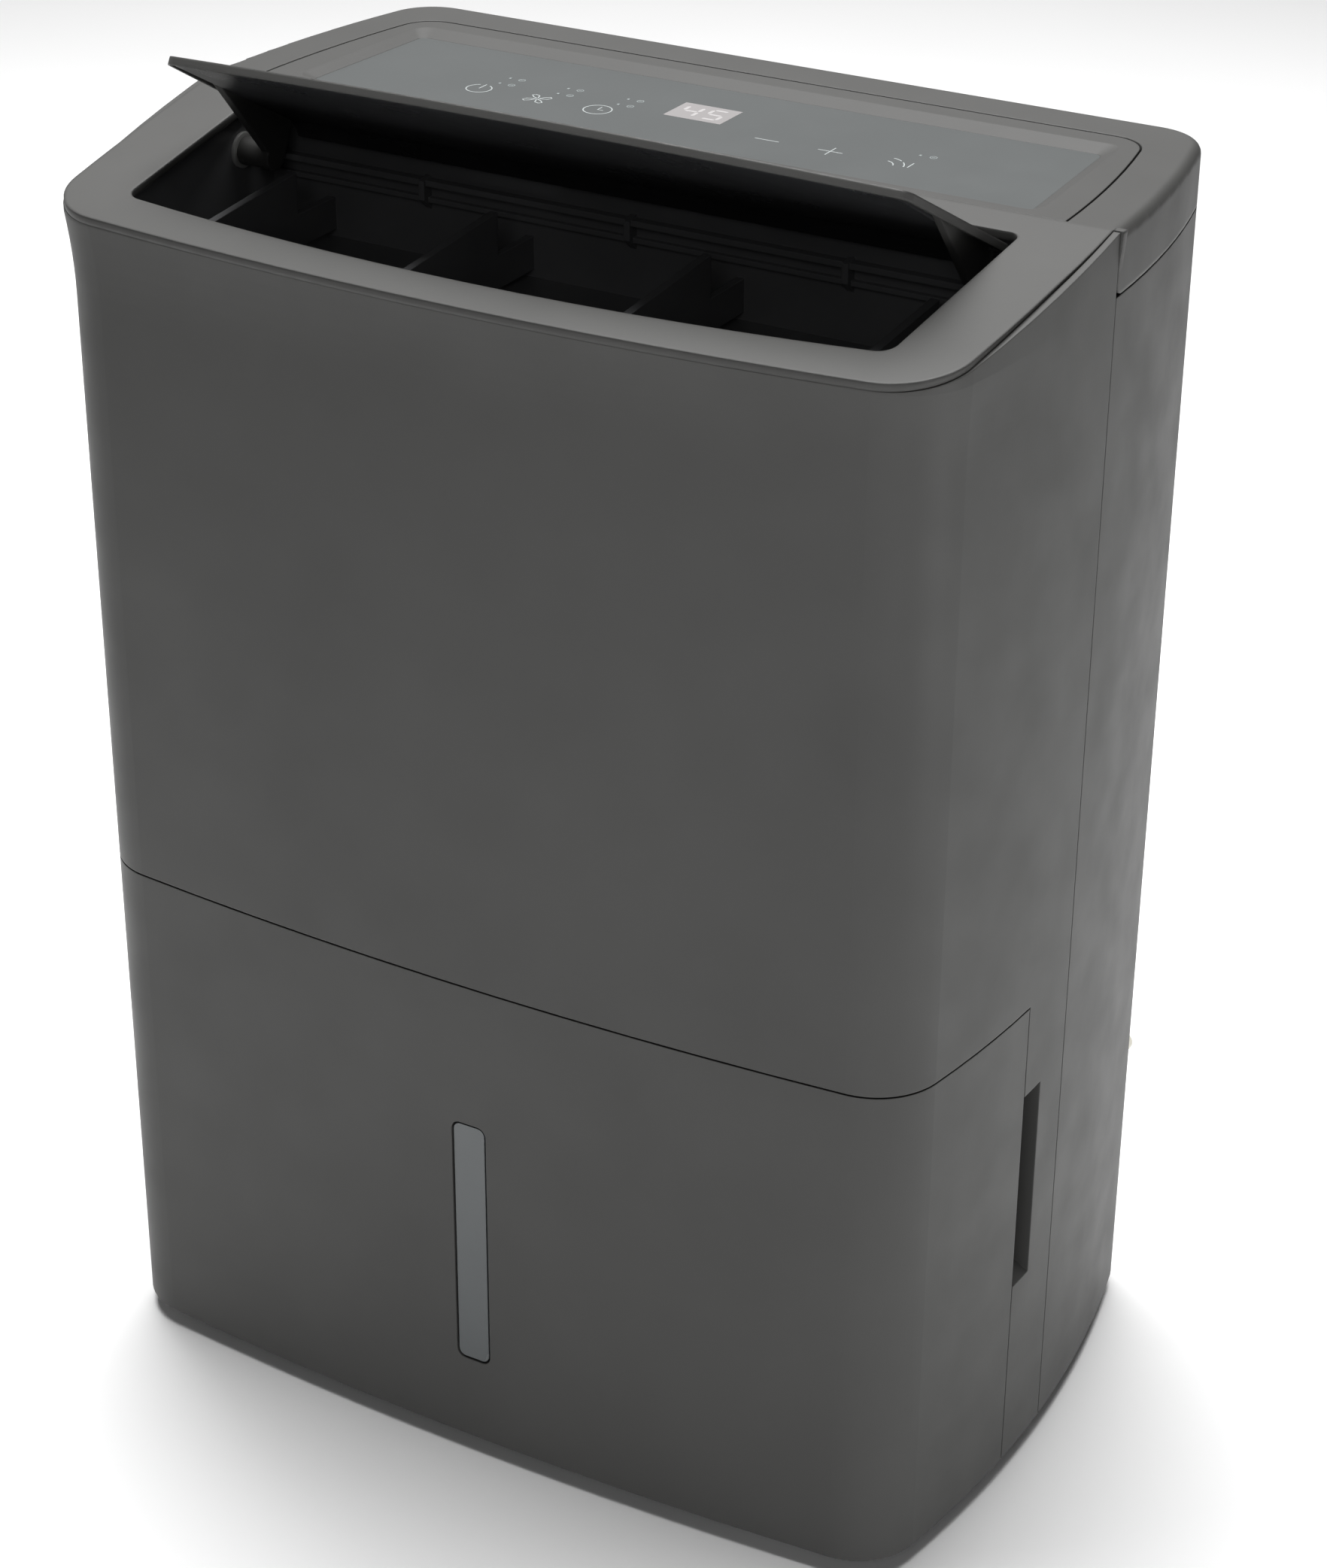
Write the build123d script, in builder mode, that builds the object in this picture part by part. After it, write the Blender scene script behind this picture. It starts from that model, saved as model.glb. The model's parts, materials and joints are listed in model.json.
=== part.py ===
"""Compressor dehumidifier: a bucket in the lower front, an outlet flap on top, an intake at the back.

Millimetres. +X is the object's left-to-right seen from the front, the front faces -Y, +Z is up.
The origin is on the floor, in the middle of the casing.
The outlet flap rests part open and every other moving piece rests in its place.
"""
import os
from math import cos, radians, sin, sqrt, tan

from build123d import *

os.makedirs("parts", exist_ok=True)

# ---- casing ------------------------------------------------------------------------------------
casing_w = 380.0  # widest, across the bowed sides
casing_d = 248.8
casing_h = 512.3  # floor to the flat top
body_bottom_z = 8.0  # lower edge of the casing, above the feet
front_radius = 1724.0  # bow of the front in plan
side_radius = 490.0  # bow of the sides in plan
widest_y = -4.8
front_corner_r = 28.0
rear_corner_r = 22.0
skin = 2.5
seam = 0.7  # open gap between two casing pieces
touch = 0.3  # clearance between two pieces that only lie on each other
embed = 0.5  # a piece added to a wall starts this deep inside it
over = 1.0  # a cut starts this far outside what it cuts
bucket_top_z = 220.0
bucket_edge_y = -30.0  # rear edge of the bucket's sides
cover_split_y = 4.0  # where the front cover meets the rear shell
crease_y = 3.5  # the flat top turns down to the front here
top_slope = 8.95  # degrees, the sloping front of the top
rim_slope = 10.2  # degrees, the upper edge of the front cover
flare = 2.4  # the front cover grows by this much under the top's lip
flare_h = 32.0
flare_steps = 6
flare_side_ease = 0.24  # the flared sides are straighter by this share
lip = 0.5  # the top's lip stands over the flared cover
lip_side_radius = 1091.0
lip_widest_y = 5.0
lip_rear_in = 2.0  # the lip ends this far in front of the outlet's rear edge
side_step = 3.0  # the top's frame sits this far inside the cover beside the crease
band_h = 23.3  # the top cover's rear band
band_bottom_z = casing_h - band_h
band_edge_r = 4.0
frame_t = 3.0
ear_out = 1.2  # a small ear stands out of each end of the band
ear_w = 3.0
ear_drop = 14.0

# ---- outlet and flap ---------------------------------------------------------------------------
outlet_front_y = 13.4 - casing_d / 2  # middle of the bowed front edge
outlet_front_bow = 10.5
outlet_front_half = casing_w / 2 - 35.0
outlet_rear_y = -10.0
outlet_rear_half = casing_w / 2 - 30.5
outlet_front_r = 7.0
outlet_rear_r = 4.0
hinge_y = -20.0
hinge_drop = 22.3
hinge_z = casing_h - hinge_drop
flap_open = 38.0  # degrees open at rest
flap_tip_gap = 5.5  # beside the flap's tip
flap_root_gap = 2.7  # beside its root
flap_front_gap = 4.0  # in front of its tip's corners
flap_tip_half = outlet_front_half - flap_tip_gap
flap_root_half = outlet_rear_half - flap_root_gap
flap_length = (hinge_y - outlet_front_y - outlet_front_bow) / cos(radians(top_slope)) - flap_front_gap
flap_bow = 9.5
flap_t = 3.0
liner_t = 1.4  # of that, the black liner under the flap
liner_edge = 1.6  # the liner stops this far inside the flap's edge
flap_root_r = 4.0
flap_corner_r = 5.0
web_l = 48.0
web_back = 5.0
flap_sink = 0.4  # the closed flap lies this far under the frame's top
curl_angle = 45.0  # the flap's rear edge rolls round the hinge by this angle
hub_r = 5.5
pin_r = 3.0
pin_cover = 2.0  # solid hub past a pin's inner end
pin_out = 2.0  # the left pin passes its bush by this much
pin_reach = 10.0  # the right pin's length inside the flap motor
run_fit = 0.05  # radial clearance of a running pin
bush_r = 5.0
bush_flange_w = 2.0
bush_flange_t = 1.2
side_play = 0.4
duct_side_in = 28.0  # casing's widest to the inside of the outlet duct
duct_half = casing_w / 2 - duct_side_in
hub_inner = duct_half - 16.0
duct_front_y = 12.4 - casing_d / 2
duct_rear_y = 0.0
duct_drop = 60.3
duct_floor_z = casing_h - duct_drop
duct_wall = 2.2
rib_t = 3.2
rib_spacing = 90.0
rib_drop = 3.0  # the ribs' highest corner, under the hinge
rib_step_in = 5.0  # the ribs step down this far in front of the hinge
rib_low_drop = 19.5
rib_front_fall = 7.0
rib_front_h = 23.0
rib_rear_h = 13.0
ledges = ((2.0, 5.5, 4.5, 2.4), (1.2, 12.5, 2.9, 2.0))  # out of the rear wall, under the hinge, size
hook_t = 2.6
hook_out = 5.4
hook_drops = (3.2, 4.6, 12.0, 17.0)  # under the hinge, from the wall's upper corner round to its foot
front_bars = ((10.0, 16.0), (20.0, 10.0))  # in from the duct's front, up from its floor
front_bar_w = 2.0
front_bar_h = 3.0
boss_r = 3.0
boss_l = 2.6
boss_spread = 15.0
flap_motor_r = 12.5
flap_motor_l = 16.0
flap_motor_edge_r = 1.5
motor_tab_l = 36.0
motor_tab_w = 8.0
motor_tab_t = 1.0

# ---- controls ----------------------------------------------------------------------------------
carrier_side = 20.0  # top's outer edge to the control carrier, at the sides
carrier_back = 22.0
carrier_gap = 0.9
carrier_front_y = cover_split_y + 0.4
carrier_corner_r = 15.0
carrier_t = 6.0
glass_front_y = 14.0
glass_rear_y = casing_d / 2 - 39.9
glass_front_half = casing_w / 2 - carrier_side - 18.0
glass_rear_half = casing_w / 2 - carrier_side - 22.0
glass_corner_r = 3.0
glass_t = 2.0
dish_front = 4.5  # the sloping edge round the glass: in front of it, behind it and beside it
dish_rear = 8.0
dish_side = 5.0
dish_depth = 2.1
dish_corner_r = 6.0
display_y = 53.5
display_l = 25.0
display_w = 19.0
display_gap = 1.0
board_drop = 13.0
board_l = 270.0
board_w = 58.0
board_t = 1.6
board_corner_r = 2.0
post_r = 3.0
post_in_x = 8.0
post_in_y = 6.0
thread_l = 4.0
screw_r = 1.5
screw_reach = 3.5
board_screw_head_r = 2.6
board_screw_head_t = 1.8

# ---- chassis -----------------------------------------------------------------------------------
base_top_z = 12.0
base_t = 2.5
base_gap = 1.5  # base to the casing's inside
base_rim_t = 2.0
base_rim_h = 8.0
deck_t = 3.0
deck_gap = 2.0  # bucket's top to the deck
deck_bottom_z = bucket_top_z + deck_gap
partition_y = 8.0
partition_t = 3.0
leg_inner = casing_w / 2 - 16.5
foot_l = 35.0
foot_w = 16.0
foot_r = 4.0
foot_chamfer = 0.8
foot_x = casing_w / 2 - 66.0
foot_front_y = 25.4 - casing_d / 2
foot_rear_y = casing_d / 2 - 28.4
spout_y = -12.0
spout_r = 5.0
spout_wall = 1.5
spout_drop = 10.0
spout_room = 3.0

# ---- fan ---------------------------------------------------------------------------------------
wheel_r = 85.0
wheel_x = -22.0
wheel_gap = 6.0  # wheel to the scroll's nearest wall
wheel_play = 6.0  # wheel to the scroll's front and rear walls
scroll_step = 15.0  # the scroll's radius grows by this each quarter turn
scroll_wall = 2.5
scroll_lift = 3.5  # scroll over the deck
scroll_front_y = duct_front_y + 12.0
scroll_d = 68.0
scroll_rear_y = scroll_front_y + scroll_d
wheel_front_y = scroll_front_y + wheel_play
wheel_rear_y = scroll_rear_y - wheel_play
wheel_z = deck_bottom_z + deck_t + scroll_lift + scroll_wall + wheel_r + wheel_gap + scroll_step
tongue = 4.0  # the scroll's start to its mouth's inner wall
inlet_in = 14.0  # the scroll's inlet is smaller than the wheel by this much
inlet_lip_l = 5.0
inlet_lip_t = 2.0
blade_count = 36
blade_l = 15.0
blade_t = 1.5
blade_in = 0.8
blade_angle = 32.0
wheel_ring_t = 2.0
fan_motor_r = 36.0
fan_motor_l = 51.0
fan_motor_front_y = scroll_front_y - 17.0
fan_motor_rear_y = fan_motor_front_y + fan_motor_l
fan_motor_edge_r = 4.0
fan_motor_hole_gap = 2.0
fan_flange_w = 12.0
fan_flange_t = 2.5
fan_lug_in = 5.0
fan_screw_r = 2.0
fan_screw_head_r = 3.6
fan_screw_head_t = 2.2
shaft_r = 4.0
shaft_bore_stop = 8.0  # solid motor in front of the shaft's bore
shaft_stop = 10.0
shaft_out = 22.0  # the shaft's end behind the wheel's web
web_gap = 5.0
web_t = 2.0
fan_dish_gap = 6.0  # round the motor
fan_dish_t = 2.0
fan_hub_r = 12.0
fan_hub_tip_r = 10.0
fan_hub_front = 4.0
fan_hub_rear = 12.0
fan_nut_r = 7.5
fan_nut_l = 6.0

# ---- cooling circuit ---------------------------------------------------------------------------
coil_half = casing_w / 2 - 60.0
coil_bottom_z = deck_bottom_z + 24.0
coil_top_z = casing_h - 46.3
evaporator_y = casing_d / 2 - 28.4
condenser_y = evaporator_y - 31.0
coil_depth = 24.0
tube_r = 3.5
tube_out = 2.0  # a tube's straight length past an end plate
condenser_rows = 8
evaporator_rows = 7
fin_t = 0.5
fin_pitch = 8.0
plate_t = 1.5
plate_over = 4.0  # an end plate is deeper and higher than the fins by this much
pan_lip_h = 15.0
pan_floor_t = 2.0
pan_wall = 2.0
pan_side = 21.0
pan_front = 4.0
pan_rear = 2.0
channel_w = 26.0
channel_front = 12.0
drain_channel_w = 16.0
drain_channel_end = 7.0
channel_lap = 2.0
compressor_r = 46.0
compressor_gap = 9.9  # to the inside of the rear
compressor_x = -70.0
compressor_y = casing_d / 2 - skin - compressor_gap - compressor_r
compressor_bottom_z = 30.0
compressor_top_z = deck_bottom_z - 22.0
compressor_dome_r = 18.0
weld_drop = 42.0
weld_out = 1.5
weld_h = 4.0
cap_box_x = 14.0  # the terminal cap, beside the compressor's middle
cap_box_r = 12.0
cap_box_h = 6.0
foot_out = 16.1  # the compressor's feet stand this far outside it
foot_angles = (35.0, -35.0, 180.0)
foot_pad_r = 10.0
mount_plate_t = 3.0
mount_gap = 0.3
grommet_r = 8.0
stud_r = 3.0
stud_out = 7.0
stud_nut_r = 5.8
stud_nut_t = 5.0
accumulator_r = 17.0
accumulator_l = 105.0
accumulator_gap = 6.0
accumulator_z = compressor_bottom_z + 32.0
accumulator_edge_r = 9.0
elbow_drop = 14.0
elbow_bend = 8.0
pipe_r = 3.0
pipe_room = 1.5
pipe_bend = 8.0
suction_bend = 7.0
suction_y = condenser_y + 13.0
suction_drop = 20.0
suction_jog = 10.0
discharge_x = 20.0  # left of the compressor's middle
discharge_drop = 10.0
pipe_gap = 2.25  # the coils' bends to the refrigerant pipes that climb beside them
capillary_r = 1.5
capillary_out = 10.0
capillary_bend = 6.0

# ---- bucket ------------------------------------------------------------------------------------
tub_side_gap = 2.0  # tub to the casing's legs
tub_half = leg_inner - tub_side_gap
tub_rear_y = 5.0
tub_drop = 17.0  # bucket's top to the tub's
tub_top_z = bucket_top_z - tub_drop
tub_wall = 2.2
tub_clear = 0.5  # under the tub
tub_corner_r = 14.0
rim_w = 14.0
lid_t = 2.5
lid_skirt_h = 6.0
lid_skirt_t = 2.0
lid_ring_r = 18.0
lid_ring_bore_r = 15.0
lid_ring_h = 3.0
pour_x = 112.0
pour_y = 40.4 - casing_d / 2
pour_l = 56.0
pour_w = 26.0
pour_r = 8.0
window_half = 7.8
window_bottom_z = 46.0
window_top_z = 158.4
window_line = 0.9  # dark gap round the window
window_r = 4.0
window_sink = 0.4
grip_y = -16.5  # rear wall of the finger grip
grip_bottom_z = 92.0
grip_top_z = 180.5
grip_depth = 14.0
grip_rise = 8.0  # the grip's floor climbs by this much inwards
float_x = -105.0
float_pivot_y = -30.0
float_pivot_drop = 21.0
float_pivot_z = tub_top_z - float_pivot_drop
float_arm = 44.0
float_drop = 20.0  # degrees, the float hangs this far under level when the bucket is empty
float_hub_r = 6.0
float_root_h = 8.0
float_end_h = 6.0
float_end_in = 10.0
float_l = 44.0
float_w = 28.0
float_h = 17.0
float_r = 4.0
float_ahead = 4.0
hanger_gap = 13.0  # half the gap between the float's two hangers
hanger_t = 2.5
hanger_w = 12.0

# ---- rear shell, intake and drain --------------------------------------------------------------
case_screw_x = casing_w / 2 - 50.0
case_screw_zs = (30.0, deck_bottom_z + 14.0, band_bottom_z - 11.0)
case_screw_r = 1.9
case_screw_l = 6.5
case_screw_bore_r = 2.0
well_r = 6.0
well_depth = 5.0
screw_head_r = 4.0
screw_head_t = 2.6
cross_l = 4.6
cross_w = 1.0
cross_depth = 1.4
intake_half = casing_w / 2 - 40.0
intake_bottom_z = deck_bottom_z + 24.0
intake_top_z = casing_h - 44.3
intake_r = 10.0
intake_gap = 0.6
vent_l = 46.0
vent_w = 3.4
vent_pitch = 8.0
vent_gap = 8.0
vent_columns = 3
vent_rows = 12
vent_mid_z = 126.0
slat_pitch = 9.25
slat_t = 2.4
slat_lap = 1.0
grille_t = 3.6
grille_border = 11.0
grille_post_w = 4.0
pull_l = 70.0
pull_w = 8.0
pull_in = 2.0
pull_depth = 1.6
filter_gap = 2.5
filter_depth = 7.0
filter_bar = 7.0
filter_r = 8.0
mesh_t = 0.8
gland_x = casing_w / 2 - 72.0
gland_z = 44.0
gland_r = 9.0
gland_bore_r = 3.8
gland_flange_w = 2.5
gland_out = 1.5
gland_nut_l = 4.0
drain_x = casing_w / 2 - 24.0
drain_z = 112.0
drain_pipe_y = casing_d / 2 - 26.4
drain_pipe_drop = 16.0
spigot_out = 4.1
spigot_r = 2.9
spigot_wall = 1.1
spigot_lap = 7.0
drain_pipe_wall = 1.0
hose_r = 4.5
hose_room = 1.0
hose_bend = 8.0
hose_straight = 9.0
hose_start_drop = 3.0
cap_r = 4.3
cap_gap = 0.2
cap_out = 6.6
cap_room = 0.4
cap_edge_r = 2.0

# ---- electrics ---------------------------------------------------------------------------------
box_x0 = 44.0
box_x1 = 136.0
box_y0 = 22.0
box_y1 = 70.0
box_z0 = 70.0
box_top_drop = 26.0
box_wall = 2.0
box_r = 4.0
box_tab_w = 12.0
box_tab_h = 16.0
box_tab_drop = 20.0
box_tab_t = 4.0
box_lid_in = 1.0
box_lid_t = 2.0
box_lid_r = 3.0
box_spigot_l = 5.0
box_spigot_t = 1.7
board_stand = 6.0
board_edge = 4.0
main_board_h = 80.0
main_board_up = 18.0
stand_r = 2.5
stand_x = 36.0
stand_z = 34.0
# the board's larger components: across, up, width, height, depth
components = ((-22.0, 30.0, 26.0, 22.0, 18.0), (16.0, 32.0, 20.0, 16.0, 15.0),
              (24.0, 2.0, 16.0, 20.0, 12.0), (-16.0, -2.0, 30.0, 14.0, 9.0))
capacitor_r = 14.0
capacitor_l = 58.0
capacitor_in = 10.0
capacitor_edge_r = 1.5
switch_x = 120.0
switch_l = 20.0
switch_w = 7.0
switch_h = 9.0
switch_arm_l = 14.0
switch_arm_w = 1.0
switch_arm_h = 2.0
switch_arm_ahead = 2.0
float_sensor_l = 24.0
float_sensor_w = 9.0
float_sensor_h = 6.0
humidity_sensor_w = 12.0
humidity_sensor_h = 24.0
humidity_sensor_t = 7.0
humidity_sensor_drop = 20.0
sensor_r = 2.0


def side_x(y, half=casing_w / 2, radius=side_radius, widest=widest_y):
    """Half width of a bowed side at the depth y."""
    return half - radius + sqrt(radius**2 - (y - widest) ** 2)


def top_z(y):
    """Height of the sloping front of the top at the depth y."""
    return casing_h + (y - crease_y) * tan(radians(top_slope))


def casing_plan(inset=0.0, grow=0.0, half=casing_w / 2, radius=side_radius, widest=widest_y,
                front_r=front_corner_r, rear_r=rear_corner_r):
    """Plan outline of the casing: bowed front and sides, straight back, four round corners."""
    front = -casing_d / 2 - grow
    rear = casing_d / 2
    y = front
    for _ in range(8):
        x = side_x(y, half, radius, widest)
        y = front + front_radius - sqrt(front_radius**2 - x**2)
    rear_x = side_x(rear, half, radius, widest)
    with BuildSketch() as plan:
        with BuildLine():
            ThreePointArc((-x, y), (0, front), (x, y))
            ThreePointArc((x, y), (half, widest), (rear_x, rear))
            Line((rear_x, rear), (-rear_x, rear))
            ThreePointArc((-rear_x, rear), (-half, widest), (-x, y))
        make_face()
        fillet(plan.vertices().group_by(Axis.Y)[0], front_r)
        fillet(plan.vertices().group_by(Axis.Y)[-1], rear_r)
        if inset:
            offset(amount=-inset)
    return plan.sketch


def behind(y):
    """A plane facing back at the depth y."""
    return Plane(origin=(0, y, 0), x_dir=(1, 0, 0), z_dir=(0, 1, 0))


def at_y(y):
    """Sketch plane at the depth y, x across and y up; it extrudes towards the front."""
    return Plane.XZ.offset(-y)


def at_x(x):
    """Sketch plane at x, its x to the rear and y up; it extrudes towards +X."""
    return Plane.YZ.offset(x)


top_plane = Plane(origin=(0, crease_y, casing_h), x_dir=(1, 0, 0),
                  z_dir=(0, -sin(radians(top_slope)), cos(radians(top_slope))))
rim_plane = Plane(origin=(0, crease_y, casing_h - touch), x_dir=(1, 0, 0),
                  z_dir=(0, -sin(radians(rim_slope)), cos(radians(rim_slope))))
span = 2 * casing_w  # longer than anything it has to cut

# ================================================================================================
# Casing
# ================================================================================================
cover_bottom_z = bucket_top_z + seam / 2
cover_rear_y = cover_split_y - seam / 2
leg_front_y = bucket_edge_y + seam / 2
flare_bottom_z = rim_plane.origin.Z - (casing_d / 2 + crease_y) * tan(radians(rim_slope)) - flare_h

# Front cover: a thin shell that flares under the top's lip, with a leg down each side of the bucket.
with BuildPart() as front_cover:
    with BuildSketch(Plane.XY.offset(cover_bottom_z)):
        add(casing_plan())
    extrude(amount=flare_bottom_z - cover_bottom_z)
    for i in range(flare_steps + 1):
        t = i / flare_steps
        with BuildSketch(Plane.XY.offset(flare_bottom_z + t * flare_h)):
            add(casing_plan(grow=flare * t**2, radius=side_radius * (1 + flare_side_ease * t**2)))
    loft(ruled=True)
    with BuildSketch(Plane.XY.offset(flare_bottom_z + flare_h)):
        add(casing_plan(grow=flare, radius=side_radius * (1 + flare_side_ease)))
    extrude(amount=casing_h - flare_bottom_z - flare_h)
    split(bisect_by=rim_plane, keep=Keep.BOTTOM)
    with BuildSketch(Plane.XY.offset(body_bottom_z)):
        add(casing_plan())
        with Locations((0, (leg_front_y + cover_rear_y) / 2)):
            Rectangle(span, cover_rear_y - leg_front_y, mode=Mode.INTERSECT)
    extrude(amount=bucket_top_z - body_bottom_z + skin)
    with BuildSketch(Plane.XY.offset(body_bottom_z)):
        add(casing_plan(inset=skin))
    extrude(amount=casing_h, mode=Mode.SUBTRACT)
    split(bisect_by=behind(cover_rear_y), keep=Keep.BOTTOM)
    # each leg's front flange and its block for the finger grip
    for side in (-1, 1):
        with BuildSketch(Plane.XY.offset(base_top_z + touch)):
            add(casing_plan(inset=skin / 2))
            with Locations((side * span / 2 + side * leg_inner, leg_front_y + skin / 2)):
                Rectangle(span, skin, mode=Mode.INTERSECT)
        extrude(amount=bucket_top_z - base_top_z)
        with BuildSketch(Plane.XY.offset(grip_bottom_z - skin)):
            add(casing_plan(inset=skin / 2))
            with Locations((side * span / 2 + side * leg_inner, (leg_front_y + grip_y + skin) / 2)):
                Rectangle(span, grip_y + skin - leg_front_y, mode=Mode.INTERSECT)
        extrude(amount=grip_top_z - grip_bottom_z + 2 * skin)
        grip_x = side_x(grip_y) - grip_depth
        with BuildSketch(at_y(grip_y)):
            with BuildLine():
                Polyline(
                    (side * span, grip_bottom_z), (side * (grip_x + grip_depth), grip_bottom_z),
                    (side * grip_x, grip_bottom_z + grip_rise), (side * grip_x, grip_top_z),
                    (side * span, grip_top_z), close=True)
            make_face()
        extrude(amount=grip_y - leg_front_y + skin, mode=Mode.SUBTRACT)
front_cover.part.label = "front_cover"
export_step(front_cover.part, "parts/front_cover.step")

# Top cover: the sloping frame round the outlet.
frame_half = casing_w / 2 - side_step
frame_plan = casing_plan(grow=flare + lip, half=frame_half, radius=lip_side_radius,
                         widest=lip_widest_y)
lip_rear_y = outlet_rear_y - lip_rear_in
lip_under = rim_plane.offset(touch)

with BuildPart() as top_lip:
    with BuildSketch(Plane.XY.offset(casing_h - 3 * flare_h)):
        add(frame_plan)
        add(casing_plan(inset=skin + touch), mode=Mode.SUBTRACT)
    extrude(amount=3 * flare_h)
    split(bisect_by=top_plane, keep=Keep.BOTTOM)
    split(bisect_by=lip_under, keep=Keep.TOP)
    split(bisect_by=behind(lip_rear_y), keep=Keep.BOTTOM)


with BuildPart() as top_plate:
    with BuildSketch(Plane.XY.offset(casing_h - 3 * flare_h)):
        add(casing_plan(inset=skin + touch))
    extrude(amount=3 * flare_h)
    split(bisect_by=top_plane, keep=Keep.BOTTOM)
    split(bisect_by=top_plane.offset(-frame_t), keep=Keep.TOP)
    split(bisect_by=behind(cover_split_y + skin), keep=Keep.BOTTOM)

band_front_y = cover_split_y + seam / 2


def carrier_plan(inset):
    """Outline of the control carrier, inset from its pocket in the top cover."""
    half = casing_w / 2 - carrier_side - inset
    rear = casing_d / 2 - carrier_back - inset
    rear_x = side_x(rear, half)
    with BuildSketch() as plan:
        with BuildLine():
            Line((-half, carrier_front_y), (half, carrier_front_y))
            ThreePointArc((half, carrier_front_y), (side_x(rear / 2, half), rear / 2), (rear_x, rear))
            Line((rear_x, rear), (-rear_x, rear))
            ThreePointArc((-rear_x, rear), (-side_x(rear / 2, half), rear / 2),
                          (-half, carrier_front_y))
        make_face()
        fillet(plan.vertices().group_by(Axis.Y)[-1], carrier_corner_r - inset)
    return plan.sketch


with BuildPart() as top_cover:
    # flat top and rear band
    with BuildSketch(Plane.XY.offset(band_bottom_z)):
        add(casing_plan())
    extrude(amount=casing_h - band_bottom_z)
    split(bisect_by=behind(band_front_y), keep=Keep.TOP)
    fillet(top_cover.faces().sort_by(Axis.Z)[-1].edges().filter_by(
        lambda e: (e @ 0.5).Y > band_front_y + over), band_edge_r)
    fillet(top_cover.faces().sort_by(Axis.Y)[0].edges().sort_by(Axis.Z)[0], band_edge_r)
    with BuildSketch(Plane.XY.offset(band_bottom_z)):
        add(casing_plan(inset=skin))
    extrude(amount=casing_h - band_bottom_z - frame_t, mode=Mode.SUBTRACT)
    add(top_lip.part)
    add(top_plate.part)
    for side in (-1, 1):
        edge_x = side_x(band_front_y)
        with BuildSketch(at_y(band_front_y + ear_w)):
            with BuildLine():
                Polyline((side * (edge_x - skin), casing_h), (side * (edge_x + ear_out), casing_h),
                         (side * edge_x, casing_h - ear_drop),
                         (side * (edge_x - skin), casing_h - ear_drop), close=True)
            make_face()
        extrude(amount=ear_w)
    # carrier pocket and outlet
    with BuildSketch(Plane.XY.offset(casing_h - 3 * frame_t)):
        add(carrier_plan(0))
    extrude(amount=span, mode=Mode.SUBTRACT)
    with BuildSketch(Plane.XY.offset(casing_h - 3 * flare_h)) as outlet_edge:
        with BuildLine():
            ThreePointArc((-outlet_front_half, outlet_front_y + outlet_front_bow), (0, outlet_front_y),
                          (outlet_front_half, outlet_front_y + outlet_front_bow))
            Polyline((outlet_front_half, outlet_front_y + outlet_front_bow),
                     (outlet_rear_half, outlet_rear_y), (-outlet_rear_half, outlet_rear_y),
                     (-outlet_front_half, outlet_front_y + outlet_front_bow))
        make_face()
        fillet(outlet_edge.vertices().group_by(Axis.Y)[0], outlet_front_r)
        fillet(outlet_edge.vertices().group_by(Axis.Y)[-1], outlet_rear_r)
    extrude(amount=span, mode=Mode.SUBTRACT)
top_cover.part.label = "top_cover"
export_step(top_cover.part, "parts/top_cover.step")

# ================================================================================================
# Controls
# ================================================================================================
board_z = casing_h - board_drop


def trapezoid(front, rear, front_half, rear_half, corner_r):
    """A four-sided outline, wider at its front, with round corners."""
    with BuildSketch() as outline:
        with BuildLine():
            Polyline((-front_half, front), (front_half, front), (rear_half, rear), (-rear_half, rear),
                     close=True)
        make_face()
        fillet(outline.vertices(), corner_r)
    return outline.sketch


board_posts = [(x, y) for x in (-board_l / 2 + post_in_x, board_l / 2 - post_in_x)
               for y in (display_y - board_w / 2 + post_in_y, display_y + board_w / 2 - post_in_y)]

glass_plan = trapezoid(glass_front_y, glass_rear_y, glass_front_half, glass_rear_half, glass_corner_r)

with BuildPart() as control_carrier:
    with BuildSketch(Plane.XY.offset(casing_h - carrier_t)):
        add(carrier_plan(carrier_gap))
    extrude(amount=carrier_t)
    with BuildSketch(Plane.XY.offset(casing_h - carrier_t)):
        add(carrier_plan(-frame_t))
    extrude(amount=carrier_t - frame_t - touch)
    with BuildSketch(Plane.XY.offset(casing_h)):
        add(trapezoid(glass_front_y - dish_front, glass_rear_y + dish_rear,
                      glass_front_half + dish_side, glass_rear_half + dish_side, dish_corner_r))
    with BuildSketch(Plane.XY.offset(casing_h - dish_depth)):
        add(glass_plan)
    loft(mode=Mode.SUBTRACT)
    with BuildSketch(Plane.XY.offset(casing_h - dish_depth - glass_t)):
        add(glass_plan)
    extrude(amount=glass_t, mode=Mode.SUBTRACT)
    with BuildSketch(Plane.XY.offset(casing_h - carrier_t)):
        with Locations((0, display_y)):
            Rectangle(display_l + 2 * display_gap, display_w + 2 * display_gap)
    extrude(amount=carrier_t, mode=Mode.SUBTRACT)
    with BuildSketch(Plane.XY.offset(board_z + board_t)):
        with Locations(*board_posts):
            Circle(post_r)
    extrude(until=Until.NEXT)
    with BuildSketch(Plane.XY.offset(board_z + board_t)):
        with Locations(*board_posts):
            Circle(screw_r)
    extrude(amount=thread_l, mode=Mode.SUBTRACT)
control_carrier.part.label = "control_carrier"
export_step(control_carrier.part, "parts/control_carrier.step")

with BuildPart() as control_glass:
    with BuildSketch(Plane.XY.offset(casing_h - dish_depth - glass_t)):
        add(glass_plan)
    extrude(amount=glass_t)
control_glass.part.label = "control_glass"
export_step(control_glass.part, "parts/control_glass.step")

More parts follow.
